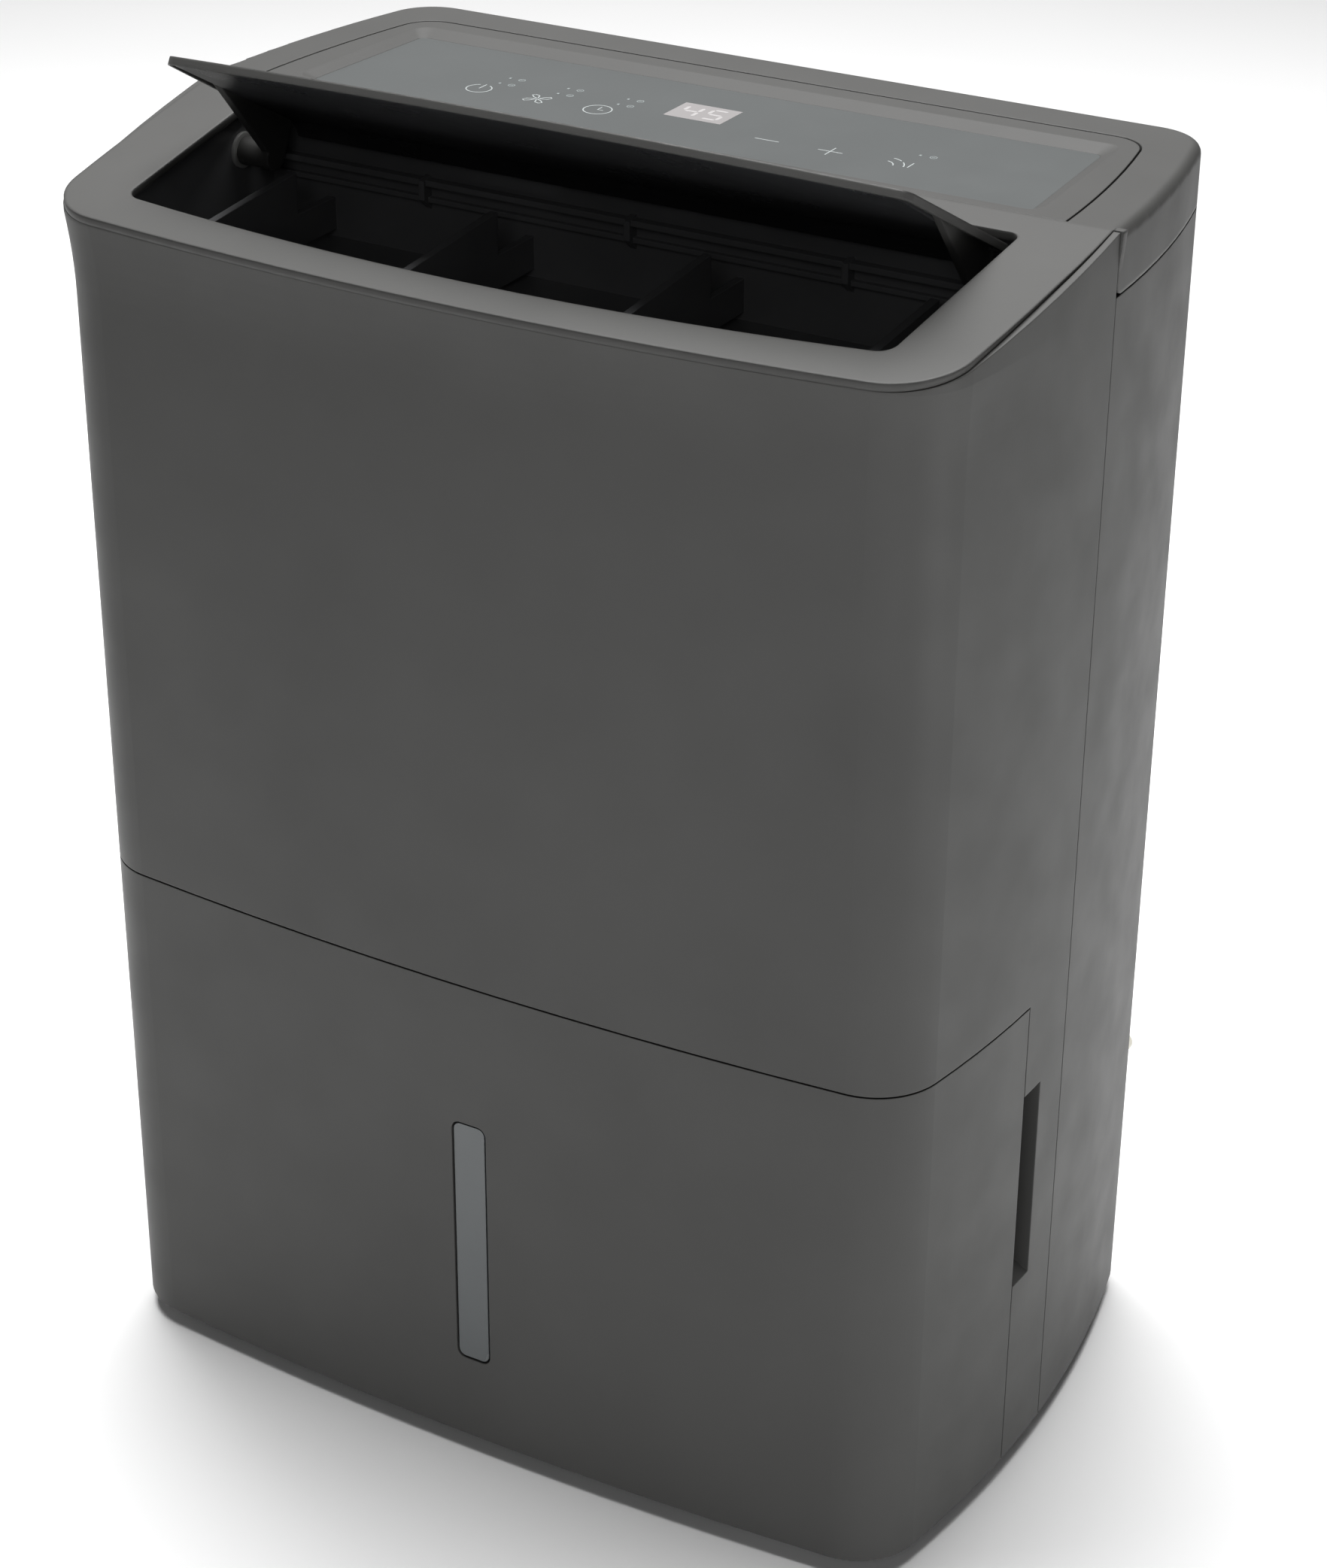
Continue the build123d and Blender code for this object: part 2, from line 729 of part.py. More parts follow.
with BuildPart() as control_board:
    with BuildSketch(Plane.XY.offset(board_z)):
        with Locations((0, display_y)):
            RectangleRounded(board_l, board_w, board_corner_r)
        with Locations(*board_posts):
            Circle(screw_r, mode=Mode.SUBTRACT)
    extrude(amount=board_t)
control_board.part.label = "control_board"
export_step(control_board.part, "parts/control_board.step")

with BuildPart() as display_module:
    with BuildSketch(Plane.XY.offset(board_z + board_t)):
        with Locations((0, display_y)):
            Rectangle(display_l, display_w)
    extrude(amount=casing_h - dish_depth - glass_t - board_z - board_t)
display_module.part.label = "display_module"
export_step(display_module.part, "parts/display_module.step")

with BuildPart() as board_screws:
    with BuildSketch(Plane.XY.offset(board_z - board_screw_head_t)):
        with Locations(*board_posts):
            Circle(board_screw_head_r)
    extrude(amount=board_screw_head_t)
    with BuildSketch(Plane.XY.offset(board_z)):
        with Locations(*board_posts):
            Circle(screw_r)
    extrude(amount=board_t + screw_reach)
board_screws.part.label = "board_screws"
export_step(board_screws.part, "parts/board_screws.step")

# ================================================================================================
# Outlet duct and flap
# ================================================================================================
duct_outer_half = duct_half + duct_wall
duct_mid_y = (duct_front_y + duct_rear_y) / 2
duct_d = duct_rear_y - duct_front_y
mouth_x0 = wheel_x - tongue
mouth_x1 = wheel_x + wheel_r + wheel_gap + 3 * scroll_step
under_frame = top_plane.offset(-frame_t - touch)


def duct_plan(wall):
    """Plan of the outlet duct, wall outside its inner faces, kept inside the front cover."""
    with BuildSketch() as plan:
        with Locations((0, duct_mid_y)):
            Rectangle(2 * (duct_half + wall), duct_d + 2 * wall)
        add(casing_plan(inset=skin + duct_wall + touch - wall), mode=Mode.INTERSECT)
    return plan.sketch


hook_xs = [-rib_spacing, 0, rib_spacing]
rib_xs = [-1.5 * rib_spacing, -0.5 * rib_spacing, 0.5 * rib_spacing, 1.5 * rib_spacing]
rib_top_z = hinge_z - rib_drop
rib_step_y = hinge_y - rib_step_in
rib_low_z = hinge_z - rib_low_drop
rib_front_z = rib_top_z - rib_front_fall

with BuildPart() as outlet_duct:
    with BuildSketch(Plane.XY.offset(duct_floor_z)):
        add(duct_plan(duct_wall))
    extrude(amount=casing_h - duct_floor_z)
    with BuildSketch(Plane.XY.offset(duct_floor_z + scroll_wall)):
        add(duct_plan(0))
    extrude(amount=casing_h - duct_floor_z, mode=Mode.SUBTRACT)
    split(bisect_by=under_frame, keep=Keep.BOTTOM)
    # mouth over the fan's scroll
    with BuildSketch(Plane.XY.offset(duct_floor_z)):
        with Locations(((mouth_x0 + mouth_x1) / 2, (scroll_front_y + scroll_rear_y) / 2)):
            Rectangle(mouth_x1 - mouth_x0, scroll_rear_y - scroll_front_y)
    extrude(amount=scroll_wall, mode=Mode.SUBTRACT)
    # ribs from front to back
    for x in rib_xs:
        with BuildSketch(at_x(x - rib_t / 2)):
            with BuildLine():
                Polyline((duct_front_y - embed, rib_front_z - rib_front_h),
                         (duct_front_y - embed, rib_front_z),
                         (rib_step_y, rib_top_z), (rib_step_y, rib_low_z), (duct_rear_y + embed, rib_low_z),
                         (duct_rear_y + embed, rib_low_z - rib_rear_h),
                         close=True)
            make_face()
        extrude(amount=rib_t)
    # ledge and hooks on the rear wall
    with BuildSketch(at_x(-duct_half)):
        for ledge_out, ledge_drop, ledge_d, ledge_h in ledges:
            with Locations((duct_rear_y - ledge_out, hinge_z - ledge_drop)):
                Rectangle(ledge_d, ledge_h)
    extrude(amount=2 * duct_half)
    for x in hook_xs:
        with BuildSketch(at_x(x - hook_t / 2)):
            with BuildLine():
                Polyline((duct_rear_y + embed, hinge_z - hook_drops[0]),
                         (duct_rear_y - hook_out, hinge_z - hook_drops[1]),
                         (duct_rear_y - hook_out, hinge_z - hook_drops[2]),
                         (duct_rear_y + embed, hinge_z - hook_drops[3]), close=True)
            make_face()
        extrude(amount=hook_t)
    # two long bars low at the front
    for bar_in, bar_up in front_bars:
        with BuildSketch(at_x(-duct_half)):
            with Locations((duct_front_y + bar_in, duct_floor_z + bar_up)):
                Rectangle(front_bar_w, front_bar_h)
        extrude(amount=2 * duct_half)
    # bush seats, and a boss each side of the flap motor
    with BuildSketch(at_x(-duct_outer_half - over)):
        with Locations((hinge_y, hinge_z)):
            Circle(bush_r)
    extrude(amount=span, mode=Mode.SUBTRACT)
    with BuildSketch(at_x(duct_outer_half)):
        with Locations((hinge_y - boss_spread, hinge_z), (hinge_y + boss_spread, hinge_z)):
            Circle(boss_r)
    extrude(amount=boss_l)
outlet_duct.part.label = "outlet_duct"
export_step(outlet_duct.part, "parts/outlet_duct.step")

# The flap is drawn shut in a frame of its own, on the hinge's axis, that is turned open by flap_open.
turn = radians(flap_open - top_slope)
flap_up = (0, sin(turn), cos(turn))  # out of the flap's outer face
flap_profile = Plane(origin=(0, hinge_y, hinge_z), x_dir=(0, cos(turn), -sin(turn)), z_dir=(1, 0, 0))
flap_face = Plane(origin=(0, hinge_y, hinge_z), x_dir=(1, 0, 0), z_dir=flap_up)
flap_top = (top_z(hinge_y) - hinge_z) * cos(radians(top_slope)) - flap_sink  # hinge to outer face
flap_under = flap_top - flap_t
curl = radians(90 - curl_angle)
curl_mid = radians(90 - curl_angle / 2)
hub_outer = duct_half - bush_flange_t - side_play
pin_inner = hub_inner + pin_cover
motor_x = duct_outer_half + boss_l
liner_top = flap_under + liner_t


def flap_plan(inset):
    """Outline of the flap's plate, bowed at its tip, on its own face."""
    with BuildSketch() as plan:
        with BuildLine():
            ThreePointArc((-flap_tip_half, -flap_length), (0, -flap_length - flap_bow),
                          (flap_tip_half, -flap_length))
            Polyline((flap_tip_half, -flap_length), (flap_root_half, 0), (-flap_root_half, 0),
                     (-flap_tip_half, -flap_length))
        make_face()
        fillet(plan.vertices().group_by(Axis.Y)[0], flap_corner_r)
        fillet(plan.vertices().group_by(Axis.Y)[-1], flap_root_r)
        if inset:
            offset(amount=-inset)
    return plan.sketch


with BuildPart() as flap:
    with BuildSketch(flap_face.offset(flap_under)):
        add(flap_plan(0))
    extrude(amount=flap_t)
    # room for the liner, open at the rear between the webs
    with BuildSketch(flap_face.offset(flap_under)):
        add(flap_plan(liner_edge))
        Rectangle(2 * hub_inner, 2 * (liner_edge + embed))
    extrude(amount=liner_t, mode=Mode.SUBTRACT)
    # a web and a hub at each end
    for side in (-1, 1):
        with BuildSketch(flap_profile.offset(side * hub_inner if side > 0 else -hub_inner - rib_t)):
            with BuildLine():
                Polyline((-web_l, flap_under + liner_t), (web_back, flap_under + liner_t),
                         (hub_r, 0), (0, -hub_r), (-hub_r, 0), close=True)
            make_face()
        extrude(amount=rib_t)
        with BuildSketch(flap_profile.offset(hub_inner if side > 0 else -hub_outer)):
            Circle(hub_r)
        extrude(amount=hub_outer - hub_inner)
        with BuildSketch(flap_profile.offset(pin_inner if side > 0 else -hub_outer)):
            Circle(pin_r)
        extrude(amount=hub_outer - pin_inner, mode=Mode.SUBTRACT)
flap.part.label = "flap"
export_step(flap.part, "parts/flap.step")

# The liner covers the underside between the webs and rolls round the hinge behind.
with BuildPart() as flap_liner:
    with BuildSketch(flap_face.offset(flap_under)):
        add(flap_plan(liner_edge))
        with Locations((0, -span / 2)):
            Rectangle(2 * (hub_inner - touch), span, mode=Mode.INTERSECT)
    extrude(amount=liner_t)
    with BuildSketch(flap_profile.offset(-hub_inner + touch)):
        with BuildLine():
            outer = ThreePointArc((0, liner_top), (liner_top * cos(curl_mid), liner_top * sin(curl_mid)),
                                  (liner_top * cos(curl), liner_top * sin(curl)))
            inner = ThreePointArc((flap_under * cos(curl), flap_under * sin(curl)),
                                  (flap_under * cos(curl_mid), flap_under * sin(curl_mid)),
                                  (0, flap_under))
            Line(outer @ 1, inner @ 0)
            Line(inner @ 1, outer @ 0)
        make_face()
        with Locations((-(liner_edge + embed) / 2, flap_under + liner_t / 2)):
            Rectangle(liner_edge + embed, liner_t)
    extrude(amount=2 * (hub_inner - touch))
flap_liner.part.label = "flap_liner"
export_step(flap_liner.part, "parts/flap_liner.step")

with BuildPart() as flap_pins:
    for start, end in ((-duct_outer_half - pin_out, -pin_inner), (pin_inner, motor_x + pin_reach)):
        with BuildSketch(at_x(start)):
            with Locations((hinge_y, hinge_z)):
                Circle(pin_r)
        extrude(amount=end - start)
flap_pins.part.label = "flap_pins"
export_step(flap_pins.part, "parts/flap_pins.step")

with BuildPart() as flap_bushes:
    for side in (-1, 1):
        flange_x = side * (duct_half - bush_flange_t / 2)
        with BuildSketch(at_x(min(side * duct_half, side * duct_outer_half))):
            with Locations((hinge_y, hinge_z)):
                Circle(bush_r)
                Circle(pin_r + run_fit, mode=Mode.SUBTRACT)
        extrude(amount=duct_wall)
        with BuildSketch(at_x(flange_x - bush_flange_t / 2)):
            with Locations((hinge_y, hinge_z)):
                Circle(bush_r + bush_flange_w)
                Circle(pin_r + run_fit, mode=Mode.SUBTRACT)
        extrude(amount=bush_flange_t)
flap_bushes.part.label = "flap_bushes"
export_step(flap_bushes.part, "parts/flap_bushes.step")

with BuildPart() as flap_motor:
    with BuildSketch(at_x(motor_x)):
        with Locations((hinge_y, hinge_z)):
            SlotOverall(motor_tab_l, motor_tab_w)
            Circle(flap_motor_r)
            Circle(pin_r + run_fit, mode=Mode.SUBTRACT)
    extrude(amount=motor_tab_t)
    with BuildSketch(at_x(motor_x + motor_tab_t)):
        with Locations((hinge_y, hinge_z)):
            Circle(flap_motor_r)
    extrude(amount=flap_motor_l)
    fillet(flap_motor.edges().filter_by(GeomType.CIRCLE).sort_by(Axis.X)[-1], flap_motor_edge_r)
    with BuildSketch(at_x(motor_x)):
        with Locations((hinge_y, hinge_z)):
            Circle(pin_r + run_fit)
    extrude(amount=pin_reach + over, mode=Mode.SUBTRACT)
flap_motor.part.label = "flap_motor"
export_step(flap_motor.part, "parts/flap_motor.step")

# ================================================================================================
# Fan
# ================================================================================================
scroll_r = wheel_r + wheel_gap
inlet_r = wheel_r - inlet_in


def scroll_outline(grow):
    """Inside of the fan's scroll, grown by grow: three quarter turns that widen, then the mouth."""
    centre = Vector(wheel_x, wheel_z)
    radius = scroll_r + grow
    with BuildSketch() as outline:
        with BuildLine():
            start = centre + Vector(0, radius)
            wall_x = start.X - tongue - grow
            Line((wall_x, duct_floor_z), (wall_x, start.Y))
            Line((wall_x, start.Y), (start.X, start.Y))
            for quarter in (90, 180, 270):
                arc = CenterArc(centre, radius, quarter, 90)
                ahead = radians(quarter + 90)
                centre = centre - Vector(cos(ahead), sin(ahead)) * scroll_step
                radius = radius + scroll_step
            Line(arc @ 1, ((arc @ 1).X, duct_floor_z))
            Line(((arc @ 1).X, duct_floor_z), (wall_x, duct_floor_z))
        make_face()
    return outline.sketch


with BuildPart() as fan_scroll:
    with BuildSketch(at_y(scroll_rear_y)):
        add(scroll_outline(scroll_wall))
    extrude(amount=scroll_rear_y - scroll_front_y + scroll_wall)
    with BuildSketch(at_y(scroll_rear_y)):
        add(scroll_outline(0))
    extrude(amount=scroll_rear_y - scroll_front_y, mode=Mode.SUBTRACT)
    with BuildSketch(at_y(scroll_front_y)):
        with Locations((wheel_x, wheel_z)):
            Circle(fan_motor_r + fan_motor_hole_gap)
    extrude(amount=scroll_wall, mode=Mode.SUBTRACT)
fan_scroll.part.label = "fan_scroll"
export_step(fan_scroll.part, "parts/fan_scroll.step")

with BuildPart() as scroll_cover:
    with BuildSketch(at_y(scroll_rear_y + scroll_wall)):
        add(scroll_outline(scroll_wall))
        with Locations((wheel_x, wheel_z)):
            Circle(inlet_r, mode=Mode.SUBTRACT)
    extrude(amount=scroll_wall)
    with BuildSketch(at_y(scroll_rear_y + scroll_wall + inlet_lip_l)):
        with Locations((wheel_x, wheel_z)):
            Circle(inlet_r + inlet_lip_t)
            Circle(inlet_r, mode=Mode.SUBTRACT)
    extrude(amount=inlet_lip_l)
scroll_cover.part.label = "scroll_cover"
export_step(scroll_cover.part, "parts/scroll_cover.step")

web_y = fan_motor_rear_y + web_gap
fan_dish_r = fan_motor_r + fan_dish_gap
with BuildPart() as fan_wheel:
    with BuildSketch(Plane.YZ.offset(wheel_x)):
        with BuildLine():
            Polyline(
                (web_y - fan_hub_front, wheel_z + shaft_r), (web_y + fan_hub_rear, wheel_z + shaft_r),
                (web_y + fan_hub_rear, wheel_z + fan_hub_tip_r), (web_y + web_t, wheel_z + fan_hub_r),
                (web_y + web_t, wheel_z + fan_dish_r + fan_dish_t),
                (wheel_front_y + web_t, wheel_z + fan_dish_r + fan_dish_t),
                (wheel_front_y + web_t, wheel_z + wheel_r), (wheel_front_y, wheel_z + wheel_r),
                (wheel_front_y, wheel_z + fan_dish_r), (web_y, wheel_z + fan_dish_r),
                (web_y, wheel_z + fan_hub_r), (web_y - fan_hub_front, wheel_z + fan_hub_tip_r),
                close=True)
        make_face()
    revolve(axis=Axis((wheel_x, 0, wheel_z), (0, 1, 0)))
    with BuildSketch(at_y(wheel_rear_y)):
        with Locations((wheel_x, wheel_z)):
            Circle(wheel_r)
            Circle(wheel_r - blade_l - over, mode=Mode.SUBTRACT)
    extrude(amount=wheel_ring_t)
    with BuildSketch(at_y(wheel_rear_y)):
        with Locations((wheel_x, wheel_z)):
            with PolarLocations(wheel_r - blade_l / 2 - blade_in, blade_count):
                Rectangle(blade_l, blade_t, rotation=blade_angle)
    extrude(amount=wheel_rear_y - wheel_front_y - web_t / 2)
fan_wheel.part.label = "fan_wheel"
export_step(fan_wheel.part, "parts/fan_wheel.step")

with BuildPart() as fan_shaft:
    with BuildSketch(at_y(web_y + shaft_out)):
        with Locations((wheel_x, wheel_z)):
            Circle(shaft_r)
    extrude(amount=web_y + shaft_out - fan_motor_front_y - shaft_stop)
fan_shaft.part.label = "fan_shaft"
export_step(fan_shaft.part, "parts/fan_shaft.step")

with BuildPart() as fan_nut:
    with BuildSketch(at_y(web_y + fan_hub_rear + fan_nut_l)):
        with Locations((wheel_x, wheel_z)):
            RegularPolygon(fan_nut_r, 6)
            Circle(shaft_r, mode=Mode.SUBTRACT)
    extrude(amount=fan_nut_l)
fan_nut.part.label = "fan_nut"
export_step(fan_nut.part, "parts/fan_nut.step")

fan_flange_r = fan_motor_r + fan_flange_w
fan_lug_r = fan_flange_r - fan_lug_in
lug_spots = [(wheel_x + fan_lug_r * cos(radians(a)), wheel_z + fan_lug_r * sin(radians(a)))
             for a in (45, 135, 225, 315)]
with BuildPart() as fan_motor:
    with BuildSketch(at_y(fan_motor_rear_y)):
        with Locations((wheel_x, wheel_z)):
            Circle(fan_motor_r)
    extrude(amount=fan_motor_rear_y - fan_motor_front_y)
    fillet(fan_motor.edges(), fan_motor_edge_r)
    with BuildSketch(at_y(scroll_front_y - scroll_wall)):
        with Locations((wheel_x, wheel_z)):
            Circle(fan_flange_r)
    extrude(amount=fan_flange_t)
    with BuildSketch(at_y(fan_motor_rear_y)):
        with Locations((wheel_x, wheel_z)):
            Circle(shaft_r + run_fit)
    extrude(amount=fan_motor_rear_y - fan_motor_front_y - shaft_bore_stop, mode=Mode.SUBTRACT)
    with BuildSketch(at_y(scroll_front_y - scroll_wall)):
        with Locations(*lug_spots):
            Circle(fan_screw_r)
    extrude(amount=fan_flange_t, mode=Mode.SUBTRACT)
fan_motor.part.label = "fan_motor"
export_step(fan_motor.part, "parts/fan_motor.step")

with BuildPart() as fan_motor_screws:
    with BuildSketch(at_y(scroll_front_y - scroll_wall - fan_flange_t)):
        with Locations(*lug_spots):
            Circle(fan_screw_head_r)
    extrude(amount=fan_screw_head_t)
    with BuildSketch(at_y(scroll_front_y - scroll_wall)):
        with Locations(*lug_spots):
            Circle(fan_screw_r)
    extrude(amount=fan_flange_t)
fan_motor_screws.part.label = "fan_motor_screws"
export_step(fan_motor_screws.part, "parts/fan_motor_screws.step")

# ================================================================================================
# Chassis
# ================================================================================================
base_bottom_z = base_top_z - base_t
pan_top_z = deck_bottom_z + deck_t + pan_lip_h
row_pitch = (coil_top_z - coil_bottom_z) / condenser_rows
tube_half = coil_half + plate_t + tube_out
riser_x = tube_half + row_pitch / 2 + tube_r + pipe_gap + pipe_r
compressor_feet = [(compressor_x + (compressor_r + foot_out) * cos(radians(a)),
                    compressor_y + (compressor_r + foot_out) * sin(radians(a))) for a in foot_angles]
screw_spots = [(x, z) for x in (-case_screw_x, case_screw_x) for z in case_screw_zs]
shell_top_z = band_bottom_z - seam

with BuildPart() as base_pan:
    with BuildSketch(Plane.XY.offset(base_bottom_z)):
        add(casing_plan(inset=skin + base_gap))
    extrude(amount=base_t)
    with BuildSketch(Plane.XY.offset(base_top_z)):
        add(casing_plan(inset=skin + base_gap))
        add(casing_plan(inset=skin + base_gap + base_rim_t), mode=Mode.SUBTRACT)
        with Locations((0, partition_y + partition_t + span / 2)):
            Rectangle(span, span, mode=Mode.INTERSECT)
    extrude(amount=base_rim_h)
base_pan.part.label = "base_pan"
export_step(base_pan.part, "parts/base_pan.step")

with BuildPart() as feet:
    with BuildSketch():
        with Locations(*[(side * foot_x, y) for side in (-1, 1) for y in (foot_front_y, foot_rear_y)]):
            RectangleRounded(foot_l, foot_w, foot_r)
    extrude(amount=base_bottom_z)
    chamfer(feet.faces().group_by(Axis.Z)[0].edges(), foot_chamfer)
feet.part.label = "feet"
export_step(feet.part, "parts/feet.step")

with BuildPart() as partition:
    with BuildSketch(Plane.XY.offset(base_top_z)):
        with Locations((0, partition_y + partition_t / 2)):
            Rectangle(2 * (side_x(partition_y + partition_t) - skin - touch), partition_t)
    extrude(amount=deck_bottom_z - base_top_z)
partition.part.label = "partition"
export_step(partition.part, "parts/partition.step")

with BuildPart() as deck:
    with BuildSketch(Plane.XY.offset(deck_bottom_z)):
        add(casing_plan(inset=skin + touch))
        with Locations((0, spout_y)):
            Circle(spout_r + spout_room, mode=Mode.SUBTRACT)
        with Locations((drain_x, drain_pipe_y)):
            Circle(hose_r + hose_room, mode=Mode.SUBTRACT)
        with Locations((-riser_x, condenser_y), (riser_x, suction_y)):
            Circle(pipe_r + pipe_room, mode=Mode.SUBTRACT)
    extrude(amount=deck_t)
deck.part.label = "deck"
export_step(deck.part, "parts/deck.step")

# ================================================================================================
# Cooling circuit
# ================================================================================================
row_z = [coil_bottom_z + row_pitch * (i + 0.5) for i in range(condenser_rows)]
fin_xs = [fin_pitch * (i + 0.5) - coil_half for i in range(round(2 * coil_half / fin_pitch))]


def fin_stack(y, rows):
    """The fins of one coil, each a plate pressed on the tubes."""
    with BuildPart() as fin:
        with BuildSketch(at_x(-fin_t / 2)):
            with Locations((y, (coil_bottom_z + coil_top_z) / 2)):
                Rectangle(coil_depth, coil_top_z - coil_bottom_z)
            with Locations(*[(y, z) for z in row_z[:rows]]):
                Circle(tube_r + run_fit, mode=Mode.SUBTRACT)
        extrude(amount=fin_t)
    with BuildPart() as stack:
        with Locations(*[(x, 0, 0) for x in fin_xs]):
            add(fin.part)
    return stack.part


def serpentine(y, rows):
    """One coil's tube, from the left of the lowest row, up and back and forth."""
    with BuildPart() as tube:
        with BuildLine() as path:
            for i in range(rows):
                side = 1 if i % 2 == 0 else -1
                Line((-side * tube_half, y, row_z[i]), (side * tube_half, y, row_z[i]))
                if i < rows - 1:
                    ThreePointArc((side * tube_half, y, row_z[i]),
                                  (side * (tube_half + row_pitch / 2), y, row_z[i] + row_pitch / 2),
                                  (side * tube_half, y, row_z[i + 1]))
        with BuildSketch(Plane(origin=path.line @ 0, z_dir=path.line % 0)):
            Circle(tube_r)
        sweep()
    return tube.part


def pipe(points, radius, bend):
    """A round pipe through the points, bent with one radius."""
    with BuildPart() as bent:
        with BuildLine() as path:
            FilletPolyline(*points, radius=bend)
        with BuildSketch(Plane(origin=path.line @ 0, z_dir=path.line % 0)):
            Circle(radius)
        sweep()
    return bent.part


evaporator_fins = fin_stack(evaporator_y, evaporator_rows)
evaporator_fins.label = "evaporator_fins"
export_step(evaporator_fins, "parts/evaporator_fins.step")

condenser_fins = fin_stack(condenser_y, condenser_rows)
condenser_fins.label = "condenser_fins"
export_step(condenser_fins, "parts/condenser_fins.step")

evaporator_tube = serpentine(evaporator_y, evaporator_rows)
evaporator_tube.label = "evaporator_tube"
export_step(evaporator_tube, "parts/evaporator_tube.step")

condenser_tube = serpentine(condenser_y, condenser_rows)
condenser_tube.label = "condenser_tube"
export_step(condenser_tube, "parts/condenser_tube.step")

pan_floor_z = deck_bottom_z + deck_t + pan_floor_t
coil_mid_y = (evaporator_y + condenser_y) / 2
plate_d = evaporator_y - condenser_y + coil_depth + plate_over
plate_top_z = coil_top_z + plate_over
with BuildPart() as coil_end_plates:
    for x in (-coil_half - plate_t, coil_half):
        with BuildSketch(at_x(x)):
            with Locations((coil_mid_y, (pan_floor_z + plate_top_z) / 2)):
                Rectangle(plate_d, plate_top_z - pan_floor_z)
            with Locations(*[(evaporator_y, z) for z in row_z[:evaporator_rows]]):
                Circle(tube_r + run_fit, mode=Mode.SUBTRACT)
            with Locations(*[(condenser_y, z) for z in row_z]):
                Circle(tube_r + run_fit, mode=Mode.SUBTRACT)
        extrude(amount=plate_t)
coil_end_plates.part.label = "coil_end_plates"
export_step(coil_end_plates.part, "parts/coil_end_plates.step")

pan_half = coil_half + pan_side
pan_front_y = coil_mid_y - plate_d / 2 - pan_front
pan_rear_y = coil_mid_y + plate_d / 2 + pan_rear
channel_front_y = spout_y - channel_front
drain_channel_x = drain_x + drain_channel_end
pan_pipes = ((0, spout_y, spout_r + spout_wall, spout_r, deck_bottom_z - spout_drop),
             (drain_x, drain_pipe_y, spigot_r, spigot_r - drain_pipe_wall,
              deck_bottom_z - drain_pipe_drop))
with BuildPart() as drain_pan:
    with BuildSketch(Plane.XY.offset(deck_bottom_z + deck_t)) as pan_plan:
        with Locations((0, (pan_front_y + pan_rear_y) / 2)):
            Rectangle(2 * pan_half, pan_rear_y - pan_front_y)
        with Locations((0, (pan_front_y + channel_front_y) / 2)):
            Rectangle(channel_w, pan_front_y - channel_front_y + channel_lap)
        with Locations(((pan_half - channel_lap + drain_channel_x) / 2, drain_pipe_y)):
            Rectangle(drain_channel_x - pan_half + channel_lap, drain_channel_w)
    extrude(amount=pan_top_z - deck_bottom_z - deck_t)
    with BuildSketch(Plane.XY.offset(pan_floor_z)):
        add(pan_plan.sketch)
        offset(amount=-pan_wall)
    extrude(amount=pan_top_z, mode=Mode.SUBTRACT)
    for x, y, outer, inner, end_z in pan_pipes:
        with BuildSketch(Plane.XY.offset(end_z)):
            with Locations((x, y)):
                Circle(outer)
        extrude(amount=deck_bottom_z + deck_t - end_z)
        with BuildSketch(Plane.XY.offset(end_z)):
            with Locations((x, y)):
                Circle(inner)
        extrude(amount=pan_floor_z - end_z, mode=Mode.SUBTRACT)
drain_pan.part.label = "drain_pan"
export_step(drain_pan.part, "parts/drain_pan.step")

# Compressor on three rubber feet.
with BuildPart() as compressor:
    with BuildSketch(Plane.XY.offset(compressor_bottom_z + mount_plate_t)):
        with Locations((compressor_x, compressor_y)):
            Circle(compressor_r)
    extrude(amount=compressor_top_z - compressor_bottom_z - mount_plate_t)
    fillet(compressor.faces().sort_by(Axis.Z)[-1].edges(), compressor_dome_r)
    with BuildSketch(Plane.XY.offset(compressor_top_z - weld_drop)):
        with Locations((compressor_x, compressor_y)):
            Circle(compressor_r + weld_out)
    extrude(amount=weld_h)
    with BuildSketch(Plane.XY.offset(compressor_top_z)):
        with Locations((compressor_x + cap_box_x, compressor_y)):
            Circle(cap_box_r)
    extrude(amount=cap_box_h)
    with BuildSketch(Plane.XY.offset(compressor_bottom_z)):
        with Locations(*compressor_feet):
            Circle(foot_pad_r)
        make_hull()
        with Locations(*compressor_feet):
            Circle(stud_r + mount_gap, mode=Mode.SUBTRACT)
    extrude(amount=mount_plate_t)
compressor.part.label = "compressor"
export_step(compressor.part, "parts/compressor.step")

with BuildPart() as compressor_grommets:
    with BuildSketch(Plane.XY.offset(base_top_z)):
        with Locations(*compressor_feet):
            Circle(grommet_r)
            Circle(stud_r + mount_gap, mode=Mode.SUBTRACT)
    extrude(amount=compressor_bottom_z - base_top_z)
compressor_grommets.part.label = "compressor_grommets"
export_step(compressor_grommets.part, "parts/compressor_grommets.step")

with BuildPart() as compressor_bolts:
    with BuildSketch(Plane.XY.offset(base_top_z)):
        with Locations(*compressor_feet):
            Circle(stud_r)
    extrude(amount=compressor_bottom_z + mount_plate_t + stud_out - base_top_z)
compressor_bolts.part.label = "compressor_bolts"
export_step(compressor_bolts.part, "parts/compressor_bolts.step")

with BuildPart() as compressor_nuts:
    with BuildSketch(Plane.XY.offset(compressor_bottom_z + mount_plate_t)):
        with Locations(*compressor_feet):
            RegularPolygon(stud_nut_r, 6)
            Circle(stud_r, mode=Mode.SUBTRACT)
    extrude(amount=stud_nut_t)
compressor_nuts.part.label = "compressor_nuts"
export_step(compressor_nuts.part, "parts/compressor_nuts.step")

